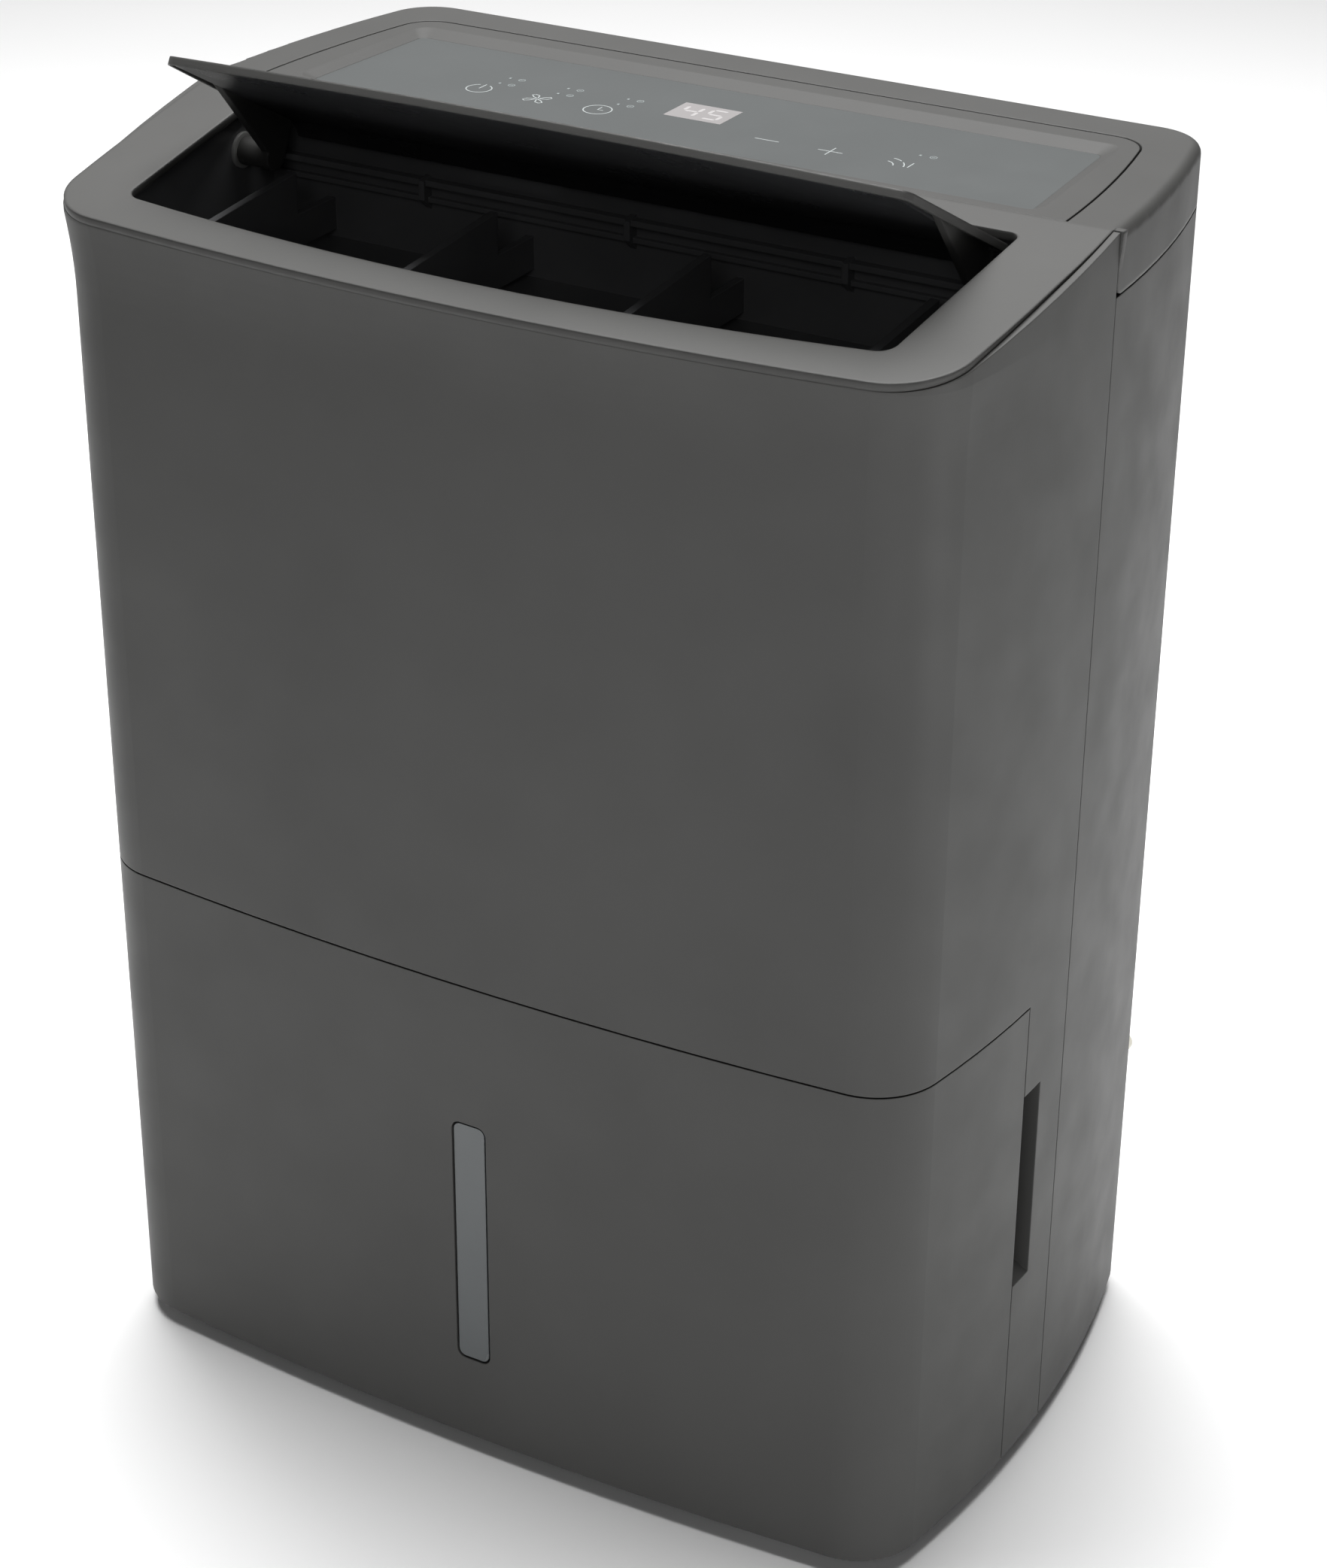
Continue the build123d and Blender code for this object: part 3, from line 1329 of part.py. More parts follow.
accumulator_x = compressor_x + compressor_r + accumulator_r + accumulator_gap
elbow_z = accumulator_z - elbow_drop
with BuildPart() as accumulator:
    with BuildSketch(Plane.XY.offset(accumulator_z)):
        with Locations((accumulator_x, compressor_y)):
            Circle(accumulator_r)
    extrude(amount=accumulator_l)
    fillet(accumulator.edges(), accumulator_edge_r)
    with BuildLine() as elbow:
        FilletPolyline((accumulator_x, compressor_y, accumulator_z + over),
                       (accumulator_x, compressor_y, elbow_z),
                       (compressor_x + compressor_r, compressor_y, elbow_z), radius=elbow_bend)
    with BuildSketch(Plane(origin=elbow.line @ 0, z_dir=elbow.line % 0)):
        Circle(pipe_r)
    sweep()
accumulator.part.label = "accumulator"
export_step(accumulator.part, "parts/accumulator.step")

discharge_z = deck_bottom_z - discharge_drop
discharge_pipe = pipe(
    [(compressor_x - discharge_x, compressor_y, compressor_top_z),
     (compressor_x - discharge_x, compressor_y, discharge_z), (-riser_x, compressor_y, discharge_z),
     (-riser_x, condenser_y, row_z[-1]), (-tube_half, condenser_y, row_z[-1])], pipe_r, pipe_bend)
discharge_pipe.label = "discharge_pipe"
export_step(discharge_pipe, "parts/discharge_pipe.step")

suction_z = deck_bottom_z - suction_drop
suction_row_z = row_z[evaporator_rows - 1]
suction_pipe = pipe(
    [(accumulator_x, compressor_y, accumulator_z + accumulator_l),
     (accumulator_x, compressor_y, suction_z), (accumulator_x, suction_y + suction_jog, suction_z),
     (riser_x, suction_y, suction_z), (riser_x, suction_y, suction_row_z),
     (riser_x, evaporator_y, suction_row_z), (tube_half, evaporator_y, suction_row_z)],
    pipe_r, suction_bend)
suction_pipe.label = "suction_pipe"
export_step(suction_pipe, "parts/suction_pipe.step")

capillary_x = -tube_half - capillary_out
capillary_tube = pipe(
    [(-tube_half, condenser_y, row_z[0]), (capillary_x, condenser_y, row_z[0]),
     (capillary_x, evaporator_y, row_z[0]), (-tube_half, evaporator_y, row_z[0])],
    capillary_r, capillary_bend)
capillary_tube.label = "capillary_tube"
export_step(capillary_tube, "parts/capillary_tube.step")

# ================================================================================================
# Rear shell, intake and drain outlet
# ================================================================================================
rear_y = casing_d / 2
wall_y = rear_y - skin
hose_end_y = drain_pipe_y + hose_bend + hose_straight
spigot_end_y = rear_y + spigot_out
cap_end_y = rear_y + cap_out

with BuildPart() as rear_shell:
    with BuildSketch(Plane.XY.offset(body_bottom_z)):
        add(casing_plan())
        add(casing_plan(inset=skin), mode=Mode.SUBTRACT)
    extrude(amount=shell_top_z - body_bottom_z)
    split(bisect_by=behind(band_front_y), keep=Keep.TOP)
    # screw wells
    with BuildSketch(at_y(rear_y)):
        with Locations(*screw_spots):
            Circle(well_r + skin)
    extrude(amount=well_depth + skin)
    with BuildSketch(at_y(rear_y)):
        with Locations(*screw_spots):
            Circle(well_r)
    extrude(amount=well_depth, mode=Mode.SUBTRACT)
    with BuildSketch(at_y(rear_y)):
        with Locations(*screw_spots):
            Circle(case_screw_bore_r)
    extrude(amount=well_depth + skin, mode=Mode.SUBTRACT)
    # intake
    with BuildSketch(at_y(rear_y + over)):
        with Locations((0, (intake_bottom_z + intake_top_z) / 2)):
            RectangleRounded(2 * intake_half, intake_top_z - intake_bottom_z, intake_r)
    extrude(amount=skin + 2 * over, mode=Mode.SUBTRACT)
    # vents for the compressor
    with BuildSketch(at_y(rear_y + over)):
        with Locations((0, vent_mid_z)):
            with GridLocations(vent_l + vent_gap, vent_pitch, vent_columns, vent_rows):
                SlotOverall(vent_l, vent_w)
    extrude(amount=skin + 2 * over, mode=Mode.SUBTRACT)
    # cord inlet and drain outlet
    with BuildSketch(at_y(rear_y + over)):
        with Locations((gland_x, gland_z)):
            Circle(gland_r)
    extrude(amount=skin + 2 * over, mode=Mode.SUBTRACT)
    with BuildSketch(at_y(rear_y + over)):
        with Locations((drain_x, drain_z)):
            Circle(spigot_r + run_fit)
    extrude(amount=rear_y - hose_end_y, mode=Mode.SUBTRACT)
rear_shell.part.label = "rear_shell"
export_step(rear_shell.part, "parts/rear_shell.step")

with BuildPart() as case_screws:
    with BuildSketch(at_y(rear_y - well_depth + screw_head_t)):
        with Locations(*screw_spots):
            Circle(screw_head_r)
    extrude(amount=screw_head_t)
    with BuildSketch(at_y(rear_y - well_depth + screw_head_t)):
        with Locations(*screw_spots):
            Rectangle(cross_l, cross_w)
            Rectangle(cross_w, cross_l)
    extrude(amount=cross_depth, mode=Mode.SUBTRACT)
    with BuildSketch(at_y(rear_y - well_depth)):
        with Locations(*screw_spots):
            Circle(case_screw_r)
    extrude(amount=case_screw_l)
case_screws.part.label = "case_screws"
export_step(case_screws.part, "parts/case_screws.step")

grille_half = intake_half - intake_gap
grille_bottom_z = intake_bottom_z + intake_gap
grille_top_z = intake_top_z - intake_gap
grille_mid_z = (grille_bottom_z + grille_top_z) / 2
grille_h = grille_top_z - grille_bottom_z
slat_count = int((grille_h - 2 * grille_border) / slat_pitch)

with BuildPart() as intake_grille:
    with BuildSketch(at_y(rear_y)):
        with Locations((0, grille_mid_z)):
            RectangleRounded(2 * grille_half, grille_h, intake_r - intake_gap)
            Rectangle(2 * (grille_half - grille_border), grille_h - 2 * grille_border,
                      mode=Mode.SUBTRACT)
            with GridLocations(0, slat_pitch, 1, slat_count):
                Rectangle(2 * (grille_half - grille_border + slat_lap), slat_t)
            with GridLocations((grille_half - grille_border) / 2, 0, 3, 1):
                Rectangle(grille_post_w, grille_h - grille_border)
    extrude(amount=grille_t)
    # pull recess in the top border
    with BuildSketch(at_y(rear_y)):
        with Locations((0, grille_top_z - pull_in)):
            SlotOverall(pull_l, pull_w)
    extrude(amount=pull_depth, mode=Mode.SUBTRACT)
intake_grille.part.label = "intake_grille"
export_step(intake_grille.part, "parts/intake_grille.step")

filter_half = grille_half - filter_gap
filter_h = grille_h - 2 * filter_gap
filter_rear_y = rear_y - grille_t
with BuildPart() as filter_frame:
    with BuildSketch(at_y(filter_rear_y)):
        with Locations((0, grille_mid_z)):
            RectangleRounded(2 * filter_half, filter_h, filter_r)
            with GridLocations(2 * filter_half / 4, filter_h / 2, 4, 2):
                Rectangle(filter_half / 2 - filter_bar, filter_h / 2 - filter_bar, mode=Mode.SUBTRACT)
    extrude(amount=filter_depth)
    with BuildSketch(at_y(filter_rear_y - filter_depth / 2 + mesh_t / 2)):
        with Locations((0, grille_mid_z)):
            Rectangle(2 * filter_half - filter_bar, filter_h - filter_bar)
    extrude(amount=mesh_t, mode=Mode.SUBTRACT)
filter_frame.part.label = "filter_frame"
export_step(filter_frame.part, "parts/filter_frame.step")

with BuildPart() as filter_mesh:
    with BuildSketch(at_y(filter_rear_y - filter_depth / 2 + mesh_t / 2)):
        with Locations((0, grille_mid_z)):
            Rectangle(2 * filter_half - filter_bar, filter_h - filter_bar)
    extrude(amount=mesh_t)
filter_mesh.part.label = "filter_mesh"
export_step(filter_mesh.part, "parts/filter_mesh.step")

with BuildPart() as cord_inlet:
    with BuildSketch(at_y(rear_y + gland_out)):
        with Locations((gland_x, gland_z)):
            Circle(gland_r + gland_flange_w)
    extrude(amount=gland_out)
    with BuildSketch(at_y(rear_y)):
        with Locations((gland_x, gland_z)):
            Circle(gland_r)
    extrude(amount=skin)
    with BuildSketch(at_y(wall_y)):
        with Locations((gland_x, gland_z)):
            Circle(gland_r + gland_flange_w)
    extrude(amount=gland_nut_l)
    with BuildSketch(at_y(rear_y + gland_out)):
        with Locations((gland_x, gland_z)):
            Circle(gland_bore_r)
    extrude(amount=span, mode=Mode.SUBTRACT)
cord_inlet.part.label = "cord_inlet"
export_step(cord_inlet.part, "parts/cord_inlet.step")

with BuildPart() as drain_hose:
    with BuildLine() as hose_path:
        FilletPolyline((drain_x, drain_pipe_y, deck_bottom_z - hose_start_drop),
                       (drain_x, drain_pipe_y, drain_z),
                       (drain_x, hose_end_y, drain_z), radius=hose_bend)
    with BuildSketch(Plane(origin=hose_path.line @ 0, z_dir=hose_path.line % 0)):
        Circle(hose_r)
        Circle(spigot_r, mode=Mode.SUBTRACT)
    sweep()
drain_hose.part.label = "drain_hose"
export_step(drain_hose.part, "parts/drain_hose.step")

with BuildPart() as drain_spigot:
    with BuildSketch(at_y(spigot_end_y)):
        with Locations((drain_x, drain_z)):
            Circle(spigot_r)
            Circle(spigot_r - spigot_wall, mode=Mode.SUBTRACT)
    extrude(amount=spigot_end_y - hose_end_y + spigot_lap)
drain_spigot.part.label = "drain_spigot"
export_step(drain_spigot.part, "parts/drain_spigot.step")

with BuildPart() as drain_cap:
    with BuildSketch(at_y(cap_end_y)):
        with Locations((drain_x, drain_z)):
            Circle(cap_r)
    extrude(amount=cap_out - cap_gap)
    fillet(drain_cap.faces().sort_by(Axis.Y)[-1].edges(), cap_edge_r)
    with BuildSketch(at_y(spigot_end_y + cap_room)):
        with Locations((drain_x, drain_z)):
            Circle(spigot_r + run_fit)
    extrude(amount=span, mode=Mode.SUBTRACT)
drain_cap.part.label = "drain_cap"
export_step(drain_cap.part, "parts/drain_cap.step")

# ================================================================================================
# Bucket
# ================================================================================================
bucket_rear_y = bucket_edge_y - seam / 2
bucket_top = bucket_top_z - seam / 2
tub_bottom_z = base_top_z + tub_clear
window_mid_z = (window_bottom_z + window_top_z) / 2
window_h = window_top_z - window_bottom_z

with BuildPart() as bucket_front:
    with BuildSketch(Plane.XY.offset(body_bottom_z)):
        add(casing_plan())
        add(casing_plan(inset=skin), mode=Mode.SUBTRACT)
    extrude(amount=bucket_top - body_bottom_z)
    with BuildSketch(Plane.XY.offset(bucket_top - skin)):
        add(casing_plan())
        add(casing_plan(inset=rim_w), mode=Mode.SUBTRACT)
    extrude(amount=skin)
    with BuildSketch(Plane.XY.offset(base_top_z + touch)):
        add(casing_plan(inset=skin / 2))
        with Locations((0, bucket_rear_y - skin / 2)):
            Rectangle(span, skin, mode=Mode.INTERSECT)
        Rectangle(2 * (leg_inner + over), span, mode=Mode.SUBTRACT)
    extrude(amount=bucket_top - base_top_z - touch)
    split(bisect_by=behind(bucket_rear_y), keep=Keep.BOTTOM)
    with BuildSketch(at_y(0)):
        with Locations((0, window_mid_z)):
            RectangleRounded(2 * window_half, window_h, window_r)
    extrude(amount=span, mode=Mode.SUBTRACT)
bucket_front.part.label = "bucket_front"
export_step(bucket_front.part, "parts/bucket_front.step")

with BuildPart() as water_window:
    with BuildSketch(at_y(0)):
        with Locations((0, window_mid_z)):
            RectangleRounded(2 * (window_half - window_line), window_h - 2 * window_line,
                             window_r - window_line)
    extrude(amount=span)
    with BuildSketch(Plane.XY.offset(window_bottom_z)):
        add(casing_plan(inset=window_sink))
        add(casing_plan(inset=skin), mode=Mode.SUBTRACT)
        with Locations((0, -span / 2)):
            Rectangle(span, span, mode=Mode.INTERSECT)
    extrude(amount=window_h, mode=Mode.INTERSECT)
water_window.part.label = "water_window"
export_step(water_window.part, "parts/water_window.step")


def tub_plan(inset):
    """Plan of the bucket's tub: it follows the front and is narrow enough to pass the legs."""
    with BuildSketch() as plan:
        add(casing_plan(inset=skin))
        with Locations((0, tub_rear_y - span / 2)):
            Rectangle(2 * tub_half, span, mode=Mode.INTERSECT)
        fillet(plan.vertices().group_by(Axis.Y)[-1], tub_corner_r)
        if inset:
            offset(amount=-inset)
    return plan.sketch


with BuildPart() as bucket_tub:
    with BuildSketch(Plane.XY.offset(tub_bottom_z)):
        add(tub_plan(0))
    extrude(amount=tub_top_z - tub_bottom_z)
    with BuildSketch(Plane.XY.offset(tub_bottom_z + tub_wall)):
        add(tub_plan(tub_wall))
    extrude(amount=tub_top_z, mode=Mode.SUBTRACT)
bucket_tub.part.label = "bucket_tub"
export_step(bucket_tub.part, "parts/bucket_tub.step")

with BuildPart() as bucket_lid:
    with BuildSketch(Plane.XY.offset(tub_top_z)):
        add(tub_plan(0))
        with Locations((pour_x, pour_y)):
            RectangleRounded(pour_l, pour_w, pour_r, mode=Mode.SUBTRACT)
    extrude(amount=lid_t)
    with BuildSketch(Plane.XY.offset(tub_top_z + lid_t)):
        with Locations((0, spout_y)):
            Circle(lid_ring_r)
    extrude(amount=lid_ring_h)
    with BuildSketch(Plane.XY.offset(tub_top_z)):
        with Locations((0, spout_y)):
            Circle(lid_ring_bore_r)
    extrude(amount=span, mode=Mode.SUBTRACT)
    with BuildSketch(Plane.XY.offset(tub_top_z - lid_skirt_h)):
        add(tub_plan(tub_wall + touch))
        add(tub_plan(tub_wall + touch + lid_skirt_t), mode=Mode.SUBTRACT)
    extrude(amount=lid_skirt_h)
    for side in (-1, 1):
        with BuildSketch(at_x(float_x + side * (hanger_gap + hanger_t / 2) - hanger_t / 2)):
            with Locations((float_pivot_y, (float_pivot_z + tub_top_z) / 2)):
                Rectangle(hanger_w, tub_top_z - float_pivot_z)
            with Locations((float_pivot_y, float_pivot_z)):
                Circle(hanger_w / 2)
                Circle(pin_r + run_fit, mode=Mode.SUBTRACT)
        extrude(amount=hanger_t)
bucket_lid.part.label = "bucket_lid"
export_step(bucket_lid.part, "parts/bucket_lid.step")

float_block_y = float_pivot_y - float_arm * cos(radians(float_drop))
float_block_z = float_pivot_z - float_arm * sin(radians(float_drop))
arm_end_y = float_block_y + float_end_in
with BuildPart() as float_lever:
    with BuildSketch(at_x(float_x - hanger_gap + side_play)):
        with Locations((float_pivot_y, float_pivot_z)):
            Circle(float_hub_r)
        with BuildLine():
            Polyline((float_pivot_y, float_pivot_z + float_root_h / 2),
                     (float_pivot_y, float_pivot_z - float_root_h / 2),
                     (arm_end_y, float_block_z - float_end_h / 2),
                     (arm_end_y, float_block_z + float_end_h / 2), close=True)
        make_face()
    extrude(amount=2 * (hanger_gap - side_play))
    with BuildSketch(at_x(float_x - hanger_gap - hanger_t)):
        with Locations((float_pivot_y, float_pivot_z)):
            Circle(pin_r)
    extrude(amount=2 * (hanger_gap + hanger_t))
float_lever.part.label = "float_lever"
export_step(float_lever.part, "parts/float_lever.step")

with BuildPart() as float_block:
    with BuildSketch(at_x(float_x - float_l / 2)):
        with Locations((float_block_y - float_ahead, float_block_z)):
            RectangleRounded(float_w, float_h, float_r)
    extrude(amount=float_l)
float_block.part.label = "float_block"
export_step(float_block.part, "parts/float_block.step")

# ================================================================================================
# Electrics
# ================================================================================================
box_z1 = deck_bottom_z - box_top_drop
box_mid_x = (box_x0 + box_x1) / 2
box_mid_z = (box_z0 + box_z1) / 2
box_l = box_x1 - box_x0
box_h = box_z1 - box_z0
tab_z = box_z1 - box_tab_drop
board_mid_z = box_mid_z + main_board_up

with BuildPart() as electrical_box:
    with BuildSketch(at_y(box_y1)):
        with Locations((box_mid_x, box_mid_z)):
            RectangleRounded(box_l, box_h, box_r)
    extrude(amount=box_y1 - box_y0)
    with BuildSketch(at_y(box_y1 - box_wall)):
        with Locations((box_mid_x, box_mid_z)):
            RectangleRounded(box_l - 2 * box_wall, box_h - 2 * box_wall, box_r - box_wall)
    extrude(amount=span, mode=Mode.SUBTRACT)
    # bracket to the partition
    with BuildSketch(at_y(box_y0 + box_tab_t)):
        with Locations((box_x0 - box_tab_w / 2 + over, tab_z), (box_x1 + box_tab_w / 2 - over, tab_z)):
            Rectangle(box_tab_w, box_tab_h)
    extrude(amount=box_y0 + box_tab_t - partition_y - partition_t)
electrical_box.part.label = "electrical_box"
export_step(electrical_box.part, "parts/electrical_box.step")

spigot_in = box_wall + touch
with BuildPart() as electrical_lid:
    with BuildSketch(at_y(box_y0)):
        with Locations((box_mid_x, box_mid_z)):
            RectangleRounded(box_l - 2 * box_lid_in, box_h - 2 * box_lid_in, box_lid_r)
    extrude(amount=box_lid_t)
    with BuildSketch(at_y(box_y0 + box_spigot_l)):
        with Locations((box_mid_x, box_mid_z)):
            RectangleRounded(box_l - 2 * spigot_in, box_h - 2 * spigot_in, box_r - spigot_in)
            Rectangle(box_l - 2 * (spigot_in + box_spigot_t), box_h - 2 * (spigot_in + box_spigot_t),
                      mode=Mode.SUBTRACT)
    extrude(amount=box_spigot_l)
electrical_lid.part.label = "electrical_lid"
export_step(electrical_lid.part, "parts/electrical_lid.step")

board_y = box_y1 - box_wall - board_stand
with BuildPart() as main_board:
    with BuildSketch(at_y(board_y)):
        with Locations((box_mid_x, board_mid_z)):
            Rectangle(box_l - 2 * board_edge, main_board_h)
    extrude(amount=board_t)
    with BuildSketch(at_y(box_y1 - box_wall)):
        with Locations(*[(box_mid_x + sx * stand_x, board_mid_z + sz * stand_z)
                         for sx in (-1, 1) for sz in (-1, 1)]):
            Circle(stand_r)
    extrude(amount=board_stand)
    for x, z, w, h, t in components:
        with BuildSketch(at_y(board_y - board_t)):
            with Locations((box_mid_x + x, board_mid_z + z)):
                Rectangle(w, h)
        extrude(amount=t)
main_board.part.label = "main_board"
export_step(main_board.part, "parts/main_board.step")

with BuildPart() as run_capacitor:
    with BuildSketch(at_x(box_x0 + capacitor_in)):
        with Locations((box_y1 - box_wall - capacitor_r, box_z0 + box_wall + capacitor_r)):
            Circle(capacitor_r)
    extrude(amount=capacitor_l)
    fillet(run_capacitor.edges().filter_by(GeomType.CIRCLE), capacitor_edge_r)
run_capacitor.part.label = "run_capacitor"
export_step(run_capacitor.part, "parts/run_capacitor.step")

with BuildPart() as bucket_switch:
    with BuildSketch(Plane.XY.offset(deck_bottom_z - switch_h)):
        with Locations((switch_x, 0)):
            Rectangle(switch_l, switch_w)
    extrude(amount=switch_h)
    with BuildSketch(Plane.XY.offset(deck_bottom_z - switch_h - switch_arm_h)):
        with Locations((switch_x, -switch_arm_ahead)):
            Rectangle(switch_arm_l, switch_arm_w)
    extrude(amount=switch_arm_h)
bucket_switch.part.label = "bucket_switch"
export_step(bucket_switch.part, "parts/bucket_switch.step")

with BuildPart() as float_sensor:
    with BuildSketch(Plane.XY.offset(deck_bottom_z - float_sensor_h)):
        with Locations((float_x, float_block_y)):
            RectangleRounded(float_sensor_l, float_sensor_w, sensor_r)
    extrude(amount=float_sensor_h)
float_sensor.part.label = "float_sensor"
export_step(float_sensor.part, "parts/float_sensor.step")

with BuildPart() as humidity_sensor:
    with BuildSketch(at_x(coil_half + plate_t)):
        with Locations((coil_mid_y, coil_top_z - humidity_sensor_drop)):
            RectangleRounded(humidity_sensor_w, humidity_sensor_h, sensor_r)
    extrude(amount=humidity_sensor_t)
humidity_sensor.part.label = "humidity_sensor"
export_step(humidity_sensor.part, "parts/humidity_sensor.step")
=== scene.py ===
# %% [markdown]
# # A compressor dehumidifier
# The object is a moulded plastic casing on four rubber feet. A bucket pulls out of its lower front, an
# outlet flap stands open on its top in front of a touch panel, and an intake grille with an air filter
# closes its back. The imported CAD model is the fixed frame: its pieces already have their true shape and
# place. This script gives them their finishes and adds what a CAD model leaves out.

# %% The frame
import json
from math import cos, radians, sin, tau

import bmesh
import bpy
from mathutils import Matrix, Quaternion, Vector


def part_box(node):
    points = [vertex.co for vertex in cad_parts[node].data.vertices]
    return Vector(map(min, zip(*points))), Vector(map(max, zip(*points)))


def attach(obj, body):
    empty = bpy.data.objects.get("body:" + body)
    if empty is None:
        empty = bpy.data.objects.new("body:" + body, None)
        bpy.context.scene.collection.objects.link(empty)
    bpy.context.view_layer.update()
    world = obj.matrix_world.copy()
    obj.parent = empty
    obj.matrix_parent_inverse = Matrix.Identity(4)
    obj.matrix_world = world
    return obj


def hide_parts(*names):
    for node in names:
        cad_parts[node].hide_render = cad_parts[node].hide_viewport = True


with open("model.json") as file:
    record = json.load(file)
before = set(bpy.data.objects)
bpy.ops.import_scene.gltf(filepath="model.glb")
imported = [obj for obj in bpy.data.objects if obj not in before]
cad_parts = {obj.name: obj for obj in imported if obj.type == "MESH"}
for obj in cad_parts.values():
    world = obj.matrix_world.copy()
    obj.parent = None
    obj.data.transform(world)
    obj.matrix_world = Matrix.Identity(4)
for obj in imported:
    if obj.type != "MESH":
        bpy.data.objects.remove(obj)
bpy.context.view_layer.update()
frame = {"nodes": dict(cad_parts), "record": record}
nodes = frame["nodes"]
MM = 0.001

# %% [markdown]
# The camera stands in front and to the right, above the top of the object, and looks down at it. A lens
# of 80 mm on a 36 mm sensor keeps the upright edges nearly parallel, as a product picture does. Its turn
# is built from three angles, so that each can be read: round the object, down to it, and the small roll.

# %% Camera
CAMERA_PLACE = Vector((0.6213, -1.0607, 0.9027))
CAMERA_AZIMUTH = radians(29.786)
CAMERA_PITCH = radians(27.975)
CAMERA_ROLL = radians(0.391)
SENSOR_WIDTH, FOCAL_LENGTH = 36.0, 80.08  # millimetres

back = Vector((sin(CAMERA_AZIMUTH) * cos(CAMERA_PITCH), -cos(CAMERA_AZIMUTH) * cos(CAMERA_PITCH),
               sin(CAMERA_PITCH)))
lens = bpy.data.cameras.new("camera")
lens.sensor_width = SENSOR_WIDTH
lens.lens = FOCAL_LENGTH
camera = bpy.data.objects.new("camera", lens)
camera.location = CAMERA_PLACE
camera.rotation_mode = "QUATERNION"
camera.rotation_quaternion = (-back).to_track_quat("-Z", "Y") @ Quaternion((0, 0, 1), CAMERA_ROLL)
bpy.context.scene.collection.objects.link(camera)
bpy.context.scene.camera = camera
print("camera looks along", tuple(round(x, 3) for x in -back))

# %% [markdown]
# A studio for plastic needs large soft sources, because a moulded surface shows the shape of its light
# as a slow gradient. Here a wide panel hangs over the object and a weak large one stands far behind it,
# which the flat top mirrors towards the camera. A weak one near the camera reaches into the outlet. One at
# the left and two low ones, in front and at the right, keep the dark sides readable. The pale floor throws
# light back up.

# %% Floor and lights
def soft_light(name, place, aim, width, height, watts):
    """A white rectangular area light at a place, turned to a point."""
    lamp = bpy.data.lights.new(name, "AREA")
    lamp.shape = "RECTANGLE"
    lamp.size = width
    lamp.size_y = height
    lamp.energy = watts
    light = bpy.data.objects.new(name, lamp)
    light.location = place
    light.rotation_mode = "QUATERNION"
    light.rotation_quaternion = (Vector(aim) - Vector(place)).to_track_quat("-Z", "Y")
    light.visible_camera = False
    bpy.context.scene.collection.objects.link(light)


MIDDLE = (0.0, 0.0, 0.25)  # about the object's middle, which most lights face
WORLD_STRENGTH = 0.03
soft_light("light_over", (-0.25, 0.4, 2.4), MIDDLE, 1.7, 1.7, 122)
soft_light("light_back", (-1.7, 2.8, 1.2), MIDDLE, 2.6, 2.0, 6)
soft_light("light_left", (-2.3, -0.2, 0.9), MIDDLE, 1.0, 1.6, 3)
soft_light("light_front", (0.8, -1.9, 1.5), MIDDLE, 0.7, 0.7, 2.5)
soft_light("light_low", (0.4, -1.3, 0.1), (0.0, -0.08, 0.04), 1.8, 0.16, 5.5)
soft_light("light_low_right", (1.3, -0.2, 0.1), (0.15, 0.0, 0.03), 0.9, 0.16, 4)

world = bpy.data.worlds.new("studio")
world.use_nodes = True
world.node_tree.nodes["Background"].inputs["Color"].default_value = (1.0, 1.0, 1.0, 1.0)
world.node_tree.nodes["Background"].inputs["Strength"].default_value = WORLD_STRENGTH
bpy.context.scene.world = world
bpy.context.scene.view_settings.view_transform = "Standard"

FLOOR_HALF = 6.0
floor_mesh = bpy.data.meshes.new("floor")
floor_mesh.from_pydata([(-FLOOR_HALF, -FLOOR_HALF, 0), (FLOOR_HALF, -FLOOR_HALF, 0),
                        (FLOOR_HALF, FLOOR_HALF, 0), (-FLOOR_HALF, FLOOR_HALF, 0)], [], [(0, 1, 2, 3)])
floor = bpy.data.objects.new("floor", floor_mesh)
bpy.context.scene.collection.objects.link(floor)

# %% [markdown]
# Every finish starts from one shader. A number that is the same all over goes straight on the shader's
# socket, and only what varies over the surface gets nodes: grain, mottling, edge wear with a painted
# highlight. Two small helpers keep those node trees readable.

# %% Material helpers
def finish(name, colour, roughness, **sockets):
    """A new material with its fixed numbers on the shader's own sockets."""
    material = bpy.data.materials.new(name)
    material.use_nodes = True
    shader = material.node_tree.nodes["Principled BSDF"]
    shader.inputs["Base Color"].default_value = (*colour, 1.0)
    shader.inputs["Roughness"].default_value = roughness
    for socket, value in sockets.items():
        shader.inputs[socket.replace("_", " ")].default_value = value
    return material


def add_node(material, kind, settings=None, **inputs):
    """A shader node; an input is a number, a colour, or the output that feeds it."""
    node = material.node_tree.nodes.new("ShaderNode" + kind)
    for attribute, value in (settings or {}).items():
        setattr(node, attribute, value)
    for name, value in inputs.items():
        key = int(name[2:]) if name.startswith("at") else name.replace("_", " ")
        socket = node.inputs[key]
        if isinstance(value, bpy.types.NodeSocket):
            material.node_tree.links.new(value, socket)
        else:
            socket.default_value = value
    return node


def feed(material, socket, output):
    """Links an output to one of the shader's sockets."""
    shader = material.node_tree.nodes["Principled BSDF"]
    material.node_tree.links.new(output, shader.inputs[socket])


def noise(material, scale, detail=2.0, stretch=None):
    """Noise in the object's own coordinates; stretch squeezes it along an axis."""
    where = add_node(material, "TexCoord").outputs["Object"]
    if stretch:
        where = add_node(material, "Mapping", Vector=where, Scale=stretch).outputs["Vector"]
    return add_node(material, "TexNoise", Vector=where, Scale=scale, Detail=detail).outputs[0]


